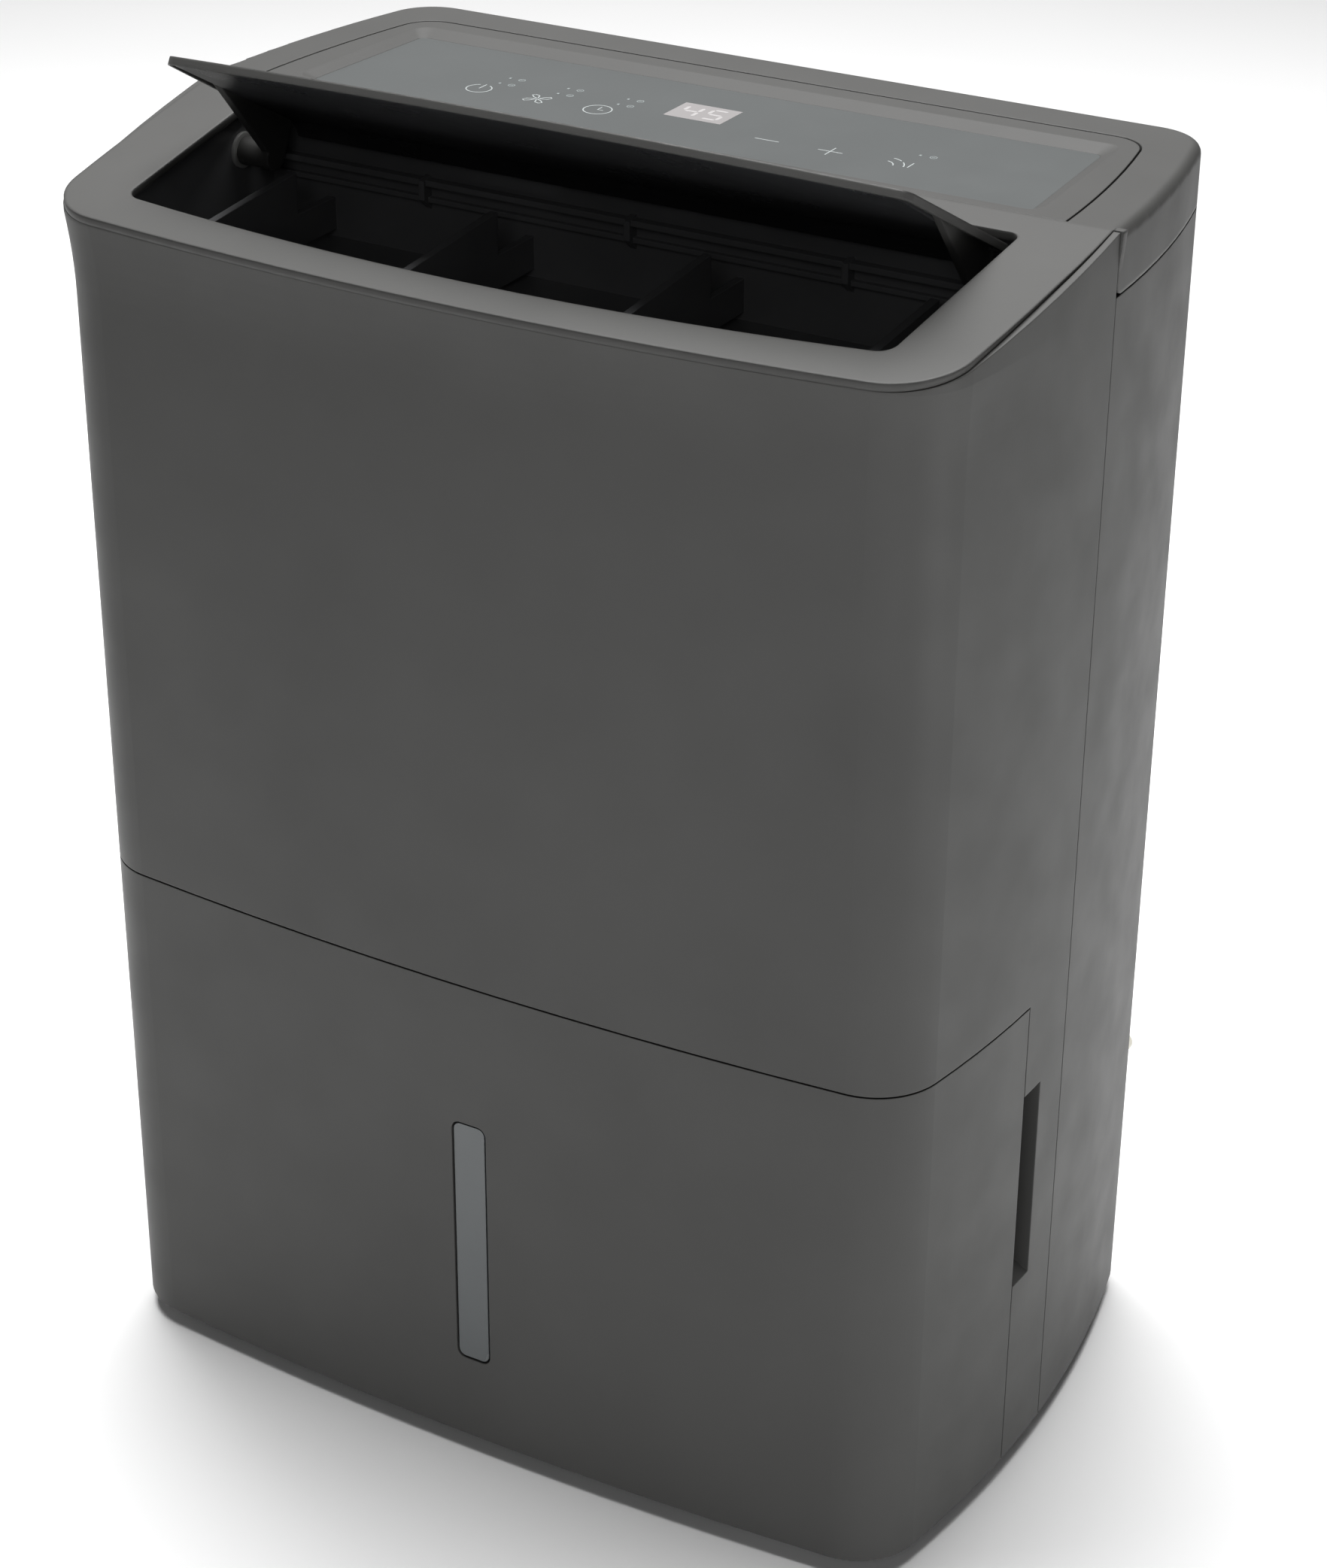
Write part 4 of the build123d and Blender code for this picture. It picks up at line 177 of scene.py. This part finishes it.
def between(material, factor, low, high):
    """Spreads a noise's middle over the range from low to high."""
    spread = add_node(material, "MapRange", Value=factor, From_Min=0.3, From_Max=0.7, To_Min=low,
                      To_Max=high)
    return spread.outputs[0]


def tint(material, factor, dark, light):
    """Mixes two colours by a factor."""
    mix = add_node(material, "Mix", {"data_type": "RGBA"}, at0=factor, at6=(*dark, 1.0), at7=(*light, 1.0))
    return mix.outputs[2]


print("material helpers ready")


# %% [markdown]
# Moulded casings are spark-eroded: the tool leaves a fine even grain that scatters light and hides
# marks. Hands and cloths polish it where they touch, along the edges. So the casing has three layers: a
# grain as a bump, slow mottling in colour and roughness, and a lighter, smoother line where the surface
# turns. Its lighter colour is partly that polish and partly a painted highlight on the rounded edge. A
# bevel node finds that line, and also rounds the crisp CAD edges by a fraction of a millimetre.

# %% Moulded plastic
def moulded(name, colour, roughness, grain=1500.0, depth=0.00003, edge=0.0007, mottle=0.06, wear_and_highlight=0.35,
            **sockets):
    """Grained plastic: mottled colour and roughness, rounded edges painted lighter, partly polish wear and
    partly a painted highlight.
    """
    m = finish(name, colour, roughness, **sockets)
    rounded = add_node(m, "Bevel", {"samples": 4}, Radius=edge).outputs[0]
    flat = add_node(m, "NewGeometry").outputs["Normal"]
    turned = add_node(m, "VectorMath", {"operation": "DOT_PRODUCT"}, at0=rounded, at1=flat).outputs["Value"]
    rim = add_node(m, "MapRange", Value=turned, From_Min=0.995, From_Max=0.88, To_Min=0.0,
                   To_Max=1.0).outputs[0]
    patchy = between(m, noise(m, 160.0, 3.0), 0.3, 1.0)
    worn_lit_rim = add_node(m, "Math", {"operation": "MULTIPLY"}, at0=rim, at1=patchy).outputs[0]
    worn_lit_rim = add_node(m, "Math", {"operation": "MULTIPLY"}, at0=worn_lit_rim, at1=wear_and_highlight).outputs[0]
    mottled = tint(m, between(m, noise(m, 11.0, 4.0), 0.0, 1.0), [c * (1 - mottle) for c in colour],
                   [c * (1 + mottle) for c in colour])
    # Painted highlight and polish wear: the turned rim is mixed towards this lighter colour.
    polish_highlight_colour = [min(1.0, c * 1.7 + 0.02) for c in colour]
    mix = add_node(m, "Mix", {"data_type": "RGBA"}, at0=worn_lit_rim, at6=mottled, at7=(*polish_highlight_colour, 1.0))
    feed(m, "Base Color", mix.outputs[2])
    rough = between(m, noise(m, 38.0, 3.0), roughness - 0.04, roughness + 0.04)
    smoother = add_node(m, "Math", {"operation": "MULTIPLY_ADD"}, at0=worn_lit_rim, at1=-0.25, at2=rough).outputs[0]
    feed(m, "Roughness", smoother)
    bump = add_node(m, "Bump", Height=noise(m, grain, 2.0), Distance=depth, Strength=0.6, Normal=rounded)
    feed(m, "Normal", bump.outputs[0])
    return m


CASING_GREY = (0.052, 0.0517, 0.050)

finishes = {
    "casing_plastic": moulded("casing_grey", CASING_GREY, 0.5, Specular_IOR_Level=0.25),
    "black_plastic": moulded("black_plastic", (0.022, 0.0225, 0.024), 0.3, grain=900.0, depth=0.00002,
                             mottle=0.15, wear_and_highlight=0.15),
    "tub_plastic": moulded("smoked_tub", (0.018, 0.019, 0.021), 0.22, grain=600.0, depth=0.00001, wear_and_highlight=0.1),
    "white_plastic": moulded("natural_white", (0.66, 0.64, 0.55), 0.38, wear_and_highlight=0.1),
    "grey_bush": moulded("bearing_grey", (0.34, 0.34, 0.33), 0.22, wear_and_highlight=0.1),
    "rubber_black": moulded("black_rubber", (0.012, 0.012, 0.012), 0.78, grain=700.0, depth=0.00005,
                            wear_and_highlight=0.2),
    "panel_gloss": moulded("panel_grey", (0.050, 0.055, 0.055), 0.34, grain=2500.0, depth=0.000004,
                           edge=0.0003, mottle=0.02, wear_and_highlight=0.1, Coat_Weight=0.35, Coat_Roughness=0.18),
    "window_plastic": moulded("window_clear", (0.068, 0.075, 0.078), 0.25, grain=2500.0, depth=0.000004,
                              edge=0.0003, mottle=0.05, wear_and_highlight=0.1, Coat_Weight=0.3, Coat_Roughness=0.1),
    "foam_white": moulded("closed_foam", (0.7, 0.7, 0.67), 0.85, grain=420.0, depth=0.0002, wear_and_highlight=0.0),
    "filter_nylon": moulded("filter_nylon", (0.014, 0.014, 0.015), 0.5, grain=900.0, wear_and_highlight=0.0),
}
print("plastics:", ", ".join(finishes))

# %% [markdown]
# Inside are metals: bare fins, copper tubes, zinc-plated steel and an enamelled compressor. They share
# one recipe. The colour shifts a little with tarnish, and the roughness is drawn out along one axis,
# because sheet and tube keep the lines of the rolls and dies that made them.

# %% Metals
def metal(name, colour, roughness, stretch=(1.0, 1.0, 1.0), tarnish=0.15, grain=900.0, **sockets):
    """Rolled or drawn metal: streaked roughness, a little tarnish, rounded edges."""
    m = finish(name, colour, roughness, Metallic=1.0, **sockets)
    feed(m, "Base Color", tint(m, between(m, noise(m, 45.0, 4.0), 0.0, 1.0),
                               [c * (1 - tarnish) for c in colour], colour))
    streaks = noise(m, grain, 3.0, stretch)
    feed(m, "Roughness", between(m, streaks, roughness * 0.75, roughness * 1.3))
    rounded = add_node(m, "Bevel", {"samples": 4}, Radius=0.0005).outputs[0]
    bump = add_node(m, "Bump", Height=streaks, Distance=0.00001, Strength=0.4, Normal=rounded)
    feed(m, "Normal", bump.outputs[0])
    return m


finishes.update({
    "fin_aluminium": metal("fin_aluminium", (0.72, 0.73, 0.74), 0.36, stretch=(1.0, 1.0, 0.04)),
    "copper_tube": metal("copper", (0.72, 0.33, 0.19), 0.3, stretch=(0.05, 1.0, 1.0), tarnish=0.35),
    "steel_plate": metal("zinc_plated_steel", (0.55, 0.55, 0.53), 0.38, stretch=(1.0, 1.0, 0.08),
                         tarnish=0.2),
    "screw_steel": metal("screw_steel", (0.6, 0.6, 0.58), 0.3, grain=500.0),
    "compressor_paint": moulded("black_enamel", (0.008, 0.008, 0.009), 0.26, grain=350.0, depth=0.00004,
                                wear_and_highlight=0.2, Coat_Weight=0.5),
    "board_green": moulded("board_lacquer", (0.012, 0.09, 0.035), 0.3, grain=300.0, wear_and_highlight=0.0),
})
print("finishes:", len(finishes))

# %% [markdown]
# A few nodes need more than their slot's finish. The duct is the same black plastic as the flap's liner,
# polished by its tool, but its colour is painted a much lighter grey: painted light for the daylight that
# falls in through the outlet. The top's frame and the flap have edges with a softer, wider round than the
# rest of the casing, with a stronger painted highlight and polish along them. The display is a pale
# diffuser, which looks milky when its digits are lit from behind.

# %% Duct, frame and display
# The frame's and the flap's wider, stronger lighter rims are partly a painted edge highlight, partly polish
# wear.
frame_finish = moulded("frame_grey", CASING_GREY, 0.5, edge=0.0019, wear_and_highlight=0.45,
                       Specular_IOR_Level=0.25)
flap_finish = moulded("flap_grey", CASING_GREY, 0.46, edge=0.0012, wear_and_highlight=0.55,
                      Specular_IOR_Level=0.3)
# Painted light: the duct's pale grey stands in for daylight falling into the outlet; its black plastic is
# darker.
duct_painted_light_finish = moulded("duct_painted_light", (0.13, 0.131, 0.135), 0.2, grain=500.0, depth=0.00001,
                      mottle=0.2, wear_and_highlight=0.3)
screen_finish = moulded("screen_milk", (0.2, 0.19, 0.19), 0.4, grain=2500.0, depth=0.000004, edge=0.0002,
                        mottle=0.03, wear_and_highlight=0.0)
digit_finish = finish("digit_light", (0.28, 0.27, 0.27), 0.5, Emission_Color=(1.0, 0.97, 0.95, 1.0),
                      Emission_Strength=0.03)
feed(digit_finish, "Base Color", tint(digit_finish, noise(digit_finish, 900.0), (0.26, 0.25, 0.25),
                                      (0.3, 0.29, 0.29)))
ink_finish = moulded("print_ink", (0.27, 0.29, 0.29), 0.55, grain=3000.0, depth=0.000004, edge=0.0001,
                     mottle=0.05, wear_and_highlight=0.0)
faint_finish = moulded("print_faint", (0.16, 0.18, 0.18), 0.55, grain=3000.0, depth=0.000004, edge=0.0001,
                       mottle=0.05, wear_and_highlight=0.0)
print("duct, frame, display and print finishes made")

# %% [markdown]
# Each CAD node takes the finish that its slot in the record names. Its mesh is left alone.

# %% Dress the CAD nodes
for row in frame["record"]["subparts"]:
    node = nodes[row["node"]]
    material = finishes[row["material_slot"]]
    if node.material_slots:
        for place in node.material_slots:
            place.material = material
    else:
        node.data.materials.append(material)
for name, material in (("outlet_duct", duct_painted_light_finish), ("top_cover", frame_finish), ("flap", flap_finish)):
    for place in nodes[name].material_slots:
        place.material = material
print("dressed", len(nodes), "nodes")

# %% [markdown]
# The floor is matt white paper, mottled so slowly that it only reads as not quite even.

# %% Floor finish
floor_finish = finish("floor_paper", (0.93, 0.93, 0.93), 0.7)
feed(floor_finish, "Base Color", tint(floor_finish, noise(floor_finish, 3.0), (0.91, 0.91, 0.91),
                                      (0.95, 0.95, 0.95)))
floor.data.materials.append(floor_finish)
print("floor finish:", floor_finish.name)

# %% [markdown]
# The panel's signs are screen printed: a film of pale ink a few hundredths of a millimetre thick. A sign
# is a few strokes, so each one is drawn as a round tube along its points and then pressed flat on the
# glass, which leaves the slightly domed edge that thick ink has. The signs are generic ones.

# %% Strokes of ink
INK_HALF = 0.3  # half the width of a stroke, in millimetres
INK_FLAT = 0.12  # how far the tube is pressed flat
glass_low, glass_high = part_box("control_glass")


def arc(x, y, radius, start, end, steps=28):
    """Points round an arc, angles in degrees, anticlockwise seen from above."""
    return [(x + radius * cos(radians(start + (end - start) * i / steps)),
             y + radius * sin(radians(start + (end - start) * i / steps))) for i in range(steps + 1)]


def piece(name, mesh, body, material):
    """A finished piece: an object at the origin that rides on its body."""
    mesh.materials.clear()
    mesh.materials.append(material)
    made = bpy.data.objects.new(name, mesh)
    bpy.context.scene.collection.objects.link(made)
    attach(made, body)
    return made


def ink(name, strokes, material, half=INK_HALF):
    """Strokes of ink on the glass. A stroke is a list of points in millimetres, seen from above."""
    line = bpy.data.curves.new(name + "_line", "CURVE")
    line.dimensions = "3D"
    line.bevel_depth = half * MM
    line.bevel_resolution = 2
    line.use_fill_caps = True
    for points in strokes:
        spline = line.splines.new("POLY")
        spline.points.add(len(points) - 1)
        for point, (x, y) in zip(spline.points, points):
            point.co = (x * MM, y * MM, 0.0, 1.0)
    tube = bpy.data.objects.new(name + "_tube", line)
    bpy.context.scene.collection.objects.link(tube)
    bpy.context.view_layer.update()
    mesh = bpy.data.meshes.new_from_object(tube.evaluated_get(bpy.context.evaluated_depsgraph_get()))
    bpy.data.objects.remove(tube)
    mesh.transform(Matrix.Translation((0, 0, glass_high.z)) @ Matrix.Diagonal((1, 1, INK_FLAT, 1)))
    mesh.name = name
    for polygon in mesh.polygons:
        polygon.use_smooth = True
    return piece(name, mesh, "casing", material)


print("strokes are", 2 * INK_HALF, "mm wide, on glass at", round(glass_high.z / MM, 1), "mm")

# %% [markdown]
# Six signs stand in one line across the panel: power, fan and timer to the left of the display, less, more
# and swing to its right. Each is drawn round its own middle.

# %% The six signs
SIGN_Y = 37.6  # millimetres behind the middle of the casing
POWER_X, FAN_X, TIMER_X, LESS_X, MORE_X, SWING_X = -91.0, -64.7, -38.0, 34.6, 60.9, 87.9
SIGN_R = 5.0
BAR_HALF = 5.0  # half the length of the less and more signs' bars


def blade(x, y, turn):
    """One petal of the fan sign, turned round its middle."""
    petal = [(0.4, 0.3), (1.6, 2.6), (3.4, 4.2), (4.6, 3.2), (3.8, 1.2), (0.9, 0.2)]
    return [(x + px * cos(turn) - py * sin(turn), y + px * sin(turn) + py * cos(turn)) for px, py in petal]


ink("sign_power", [arc(POWER_X, SIGN_Y, SIGN_R, 115, 425),
                   [(POWER_X, SIGN_Y), (POWER_X, SIGN_Y + SIGN_R + 0.6)]], ink_finish)
ink("sign_fan", [blade(FAN_X, SIGN_Y, k * tau / 4) for k in range(4)], ink_finish)
ink("sign_timer", [arc(TIMER_X, SIGN_Y, SIGN_R + 0.5, 0, 360, 40),
                   [(TIMER_X, SIGN_Y + 3.4), (TIMER_X, SIGN_Y), (TIMER_X + 2.4, SIGN_Y)]], ink_finish)
ink("sign_less", [[(LESS_X - BAR_HALF, SIGN_Y), (LESS_X + BAR_HALF, SIGN_Y)]], ink_finish)
ink("sign_more", [[(MORE_X - BAR_HALF, SIGN_Y), (MORE_X + BAR_HALF, SIGN_Y)],
                  [(MORE_X, SIGN_Y - 4.5), (MORE_X, SIGN_Y + 4.5)]], ink_finish)
ink("sign_swing", [arc(SWING_X - 5, SIGN_Y - 4, 9.0, 80, 52, 8), arc(SWING_X - 5, SIGN_Y - 4, 9.0, 42, 8, 8),
                   arc(SWING_X - 5, SIGN_Y - 4, 5.0, 78, 12, 8),
                   [(SWING_X + 5.5, SIGN_Y - 2.5), (SWING_X + 5.5, SIGN_Y + 3.0)]], ink_finish)
print("six signs at y", SIGN_Y, "mm")

# %% [markdown]
# Behind some signs are one or two lamps, unlit, each with a short mark to its right that says what it is
# for. They are printed fainter than the signs.

# %% Small marks beside the signs
MARK_ROWS = (9.8, 17.4)  # behind a sign
MARK_ROW_ALONE = (12.8,)
MARK_DOT_X, MARK_SIGN_X = 3.4, 8.6


def mark_rows(x, rows):
    """Lamp dots, and a short generic mark beside each, behind the sign at x."""
    dots = [[(x + MARK_DOT_X - 0.5, SIGN_Y + up), (x + MARK_DOT_X + 0.5, SIGN_Y + up)] for up in rows]
    bars = []
    for up in rows:
        bars.append(arc(x + MARK_SIGN_X, SIGN_Y + up, 1.3, 0, 360, 14))
        bars.append([(x + MARK_SIGN_X - 0.8, SIGN_Y + up), (x + MARK_SIGN_X + 0.8, SIGN_Y + up)])
    return dots, bars


for label, x, rows in (("power", POWER_X, MARK_ROWS), ("fan", FAN_X, MARK_ROWS),
                       ("timer", TIMER_X, MARK_ROWS), ("swing", SWING_X, MARK_ROW_ALONE)):
    lamp_dots, small_signs = mark_rows(x, rows)
    ink("lamps_" + label, lamp_dots, faint_finish, half=0.8)
    ink("marks_" + label, small_signs, faint_finish, half=0.26)
print("signs and marks printed")

# %% [markdown]
# The display is a pale window in the print with two seven-segment digits behind it. A segment is a bar
# with pointed ends. The digits show a humidity that anyone might set.

# %% Display
SCREEN_X, SCREEN_Y, SCREEN_L, SCREEN_W = -1.6, 54.0, 24.5, 18.0
SCREEN_UP = 0.03
DIGIT_H, DIGIT_W, DIGIT_GAP, SEGMENT_HALF = 11.0, 6.2, 10.4, 0.75
SEGMENTS = {"4": "bcfg", "5": "acdfg"}


def flat_shape(outlines, z, thick):
    """A thin plate for each outline, closed all round, with its underside at z."""
    shape = bmesh.new()
    for outline in outlines:
        corners = [shape.verts.new((x * MM, y * MM, z)) for x, y in outline]
        face = shape.faces.new(corners)
        raised = bmesh.ops.extrude_face_region(shape, geom=[face])
        lifted = [v for v in raised["geom"] if isinstance(v, bmesh.types.BMVert)]
        bmesh.ops.translate(shape, vec=(0, 0, thick), verts=lifted)
    bmesh.ops.recalc_face_normals(shape, faces=shape.faces)
    mesh = bpy.data.meshes.new("plate")
    shape.to_mesh(mesh)
    shape.free()
    return mesh


def segment(x0, y0, x1, y1):
    """A pointed bar between two corners of a digit."""
    along = Vector((x1 - x0, y1 - y0)).normalized()
    side = Vector((-along.y, along.x)) * SEGMENT_HALF
    a, b = Vector((x0, y0)) + along * 0.3, Vector((x1, y1)) - along * 0.3
    inner_a, inner_b = a + along * SEGMENT_HALF, b - along * SEGMENT_HALF
    return [tuple(p) for p in (a, inner_a - side, inner_b - side, b, inner_b + side, inner_a + side)]


def digit(which, x, y):
    """The lit segments of one digit, its middle at x and y."""
    left, right, top, low = x - DIGIT_W / 2, x + DIGIT_W / 2, y + DIGIT_H / 2, y - DIGIT_H / 2
    bars = {"a": (left, top, right, top), "b": (right, top, right, y), "c": (right, y, right, low),
            "d": (left, low, right, low), "e": (left, y, left, low), "f": (left, top, left, y),
            "g": (left, y, right, y)}
    return [segment(*bars[letter]) for letter in SEGMENTS[which]]


screen_outline = [(SCREEN_X + sx * SCREEN_L / 2, SCREEN_Y + sy * SCREEN_W / 2) for sx, sy in
                  ((-1, -1), (1, -1), (1, 1), (-1, 1))]
piece("display_screen", flat_shape([screen_outline], glass_high.z, SCREEN_UP * MM), "casing", screen_finish)
piece("display_digits", flat_shape(digit("4", SCREEN_X - DIGIT_GAP / 2, SCREEN_Y) +
                                   digit("5", SCREEN_X + DIGIT_GAP / 2, SCREEN_Y),
                                   glass_high.z + SCREEN_UP * MM, SCREEN_UP * MM), "casing", digit_finish)
print("display made")

# %% [markdown]
# Rows of equal things come from Geometry Nodes: a point for each thing, one shape put on all the points.
# The helper builds a tree that stands a bar on every point of a line, with its sizes as named inputs. The
# result is turned into a plain mesh at once, because other programs read meshes and not node trees.

# %% Rows of bars
def row_tree():
    """A node tree: bars of one size, a pitch apart, along a line."""
    tree = bpy.data.node_groups.new("row_of_bars", "GeometryNodeTree")
    tree.interface.new_socket("Geometry", in_out="OUTPUT", socket_type="NodeSocketGeometry")
    for name, kind in (("Count", "Int"), ("Step", "Vector"), ("Start", "Vector"), ("Bar Size", "Vector"),
                       ("Material", "Material")):
        tree.interface.new_socket(name, in_out="INPUT", socket_type="NodeSocket" + kind)
    give = tree.nodes.new("NodeGroupInput").outputs
    line = tree.nodes.new("GeometryNodeMeshLine")
    bar = tree.nodes.new("GeometryNodeMeshCube")
    stand = tree.nodes.new("GeometryNodeInstanceOnPoints")
    real = tree.nodes.new("GeometryNodeRealizeInstances")
    paint = tree.nodes.new("GeometryNodeSetMaterial")
    end = tree.nodes.new("NodeGroupOutput")
    links = ((give["Count"], line.inputs["Count"]), (give["Step"], line.inputs["Offset"]),
             (give["Start"], line.inputs["Start Location"]), (give["Bar Size"], bar.inputs["Size"]),
             (line.outputs["Mesh"], stand.inputs["Points"]), (bar.outputs["Mesh"], stand.inputs["Instance"]),
             (stand.outputs["Instances"], real.inputs["Geometry"]),
             (real.outputs["Geometry"], paint.inputs["Geometry"]),
             (give["Material"], paint.inputs["Material"]), (paint.outputs["Geometry"], end.inputs[0]))
    for start, stop in links:
        tree.links.new(start, stop)
    return tree


rows_of_bars = row_tree()


def grow_rows(name, rows, material):
    """One mesh from several rows of bars; a row is its count, step, start and bar size, in millimetres."""
    together = bmesh.new()
    for count, step, start, size in rows:
        holder = bpy.data.objects.new(name + "_row", bpy.data.meshes.new(name + "_row"))
        bpy.context.scene.collection.objects.link(holder)
        grow = holder.modifiers.new("row", "NODES")
        grow.node_group = rows_of_bars
        values = {"Count": count, "Step": [v * MM for v in step], "Start": [v * MM for v in start],
                  "Bar Size": [v * MM for v in size], "Material": material}
        for socket in rows_of_bars.interface.items_tree:
            if socket.in_out == "INPUT":
                grow[socket.identifier] = values[socket.name]
        bpy.context.view_layer.update()
        grown = holder.evaluated_get(bpy.context.evaluated_depsgraph_get())
        mesh = bpy.data.meshes.new_from_object(grown)
        holder.modifiers.remove(grow)
        bpy.data.objects.remove(holder)
        together.from_mesh(mesh)
    made = bpy.data.meshes.new(name)
    together.to_mesh(made)
    together.free()
    return made


print("tree", rows_of_bars.name, "has", len(rows_of_bars.nodes), "nodes")

# %% [markdown]
# The air filter is a plain net of nylon threads, welded where they cross. The level threads lie in front
# of the upright ones by a little less than a thread's thickness, and that offset catches the light.

# %% Filter net
THREAD, THREAD_PITCH = 0.34, 1.3
LAYER_OFFSET = THREAD * 0.8  # the level threads lie this far in front
net_low, net_high = (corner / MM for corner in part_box("filter_mesh"))
net_middle = (net_low + net_high) / 2
net_size = net_high - net_low
upright = int(net_size.x / THREAD_PITCH)
level = int(net_size.z / THREAD_PITCH)
first_x = net_middle.x - (upright - 1) * THREAD_PITCH / 2
first_z = net_middle.z - (level - 1) * THREAD_PITCH / 2
net = piece("filter_net", grow_rows("filter_net", [
    (upright, (THREAD_PITCH, 0, 0), (first_x, net_middle.y, net_middle.z), (THREAD, THREAD, net_size.z)),
    (level, (0, 0, THREAD_PITCH), (net_middle.x, net_middle.y - LAYER_OFFSET, first_z),
     (net_size.x, THREAD, THREAD)),
], finishes["filter_nylon"]), "air_filter", finishes["filter_nylon"])
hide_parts("filter_mesh")
print("filter net:", upright, "by", level, "threads")

# %% [markdown]
# The coils' fins stand so close that the CAD model keeps only a few of them. Here each coil gets its
# full stack: thin plates, less than two millimetres apart, across both coils' tubes.

# %% Coil fins
FIN_PITCH, FIN_T = 1.8, 0.16
for coil in ("evaporator", "condenser"):
    low, high = (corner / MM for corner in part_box(coil + "_fins"))
    count = int((high.x - low.x - FIN_T) / FIN_PITCH) + 1
    first = (low.x + high.x) / 2 - (count - 1) * FIN_PITCH / 2
    middle = (low + high) / 2
    fin_size = (FIN_T, high.y - low.y, high.z - low.z)
    row = (count, (FIN_PITCH, 0, 0), (first, middle.y, middle.z), fin_size)
    stack = grow_rows(coil + "_fin_stack", [row], finishes["fin_aluminium"])
    fins = piece(coil + "_fin_stack", stack, "casing", finishes["fin_aluminium"])
    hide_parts(coil + "_fins")
    print(coil, "has", count, "fins")
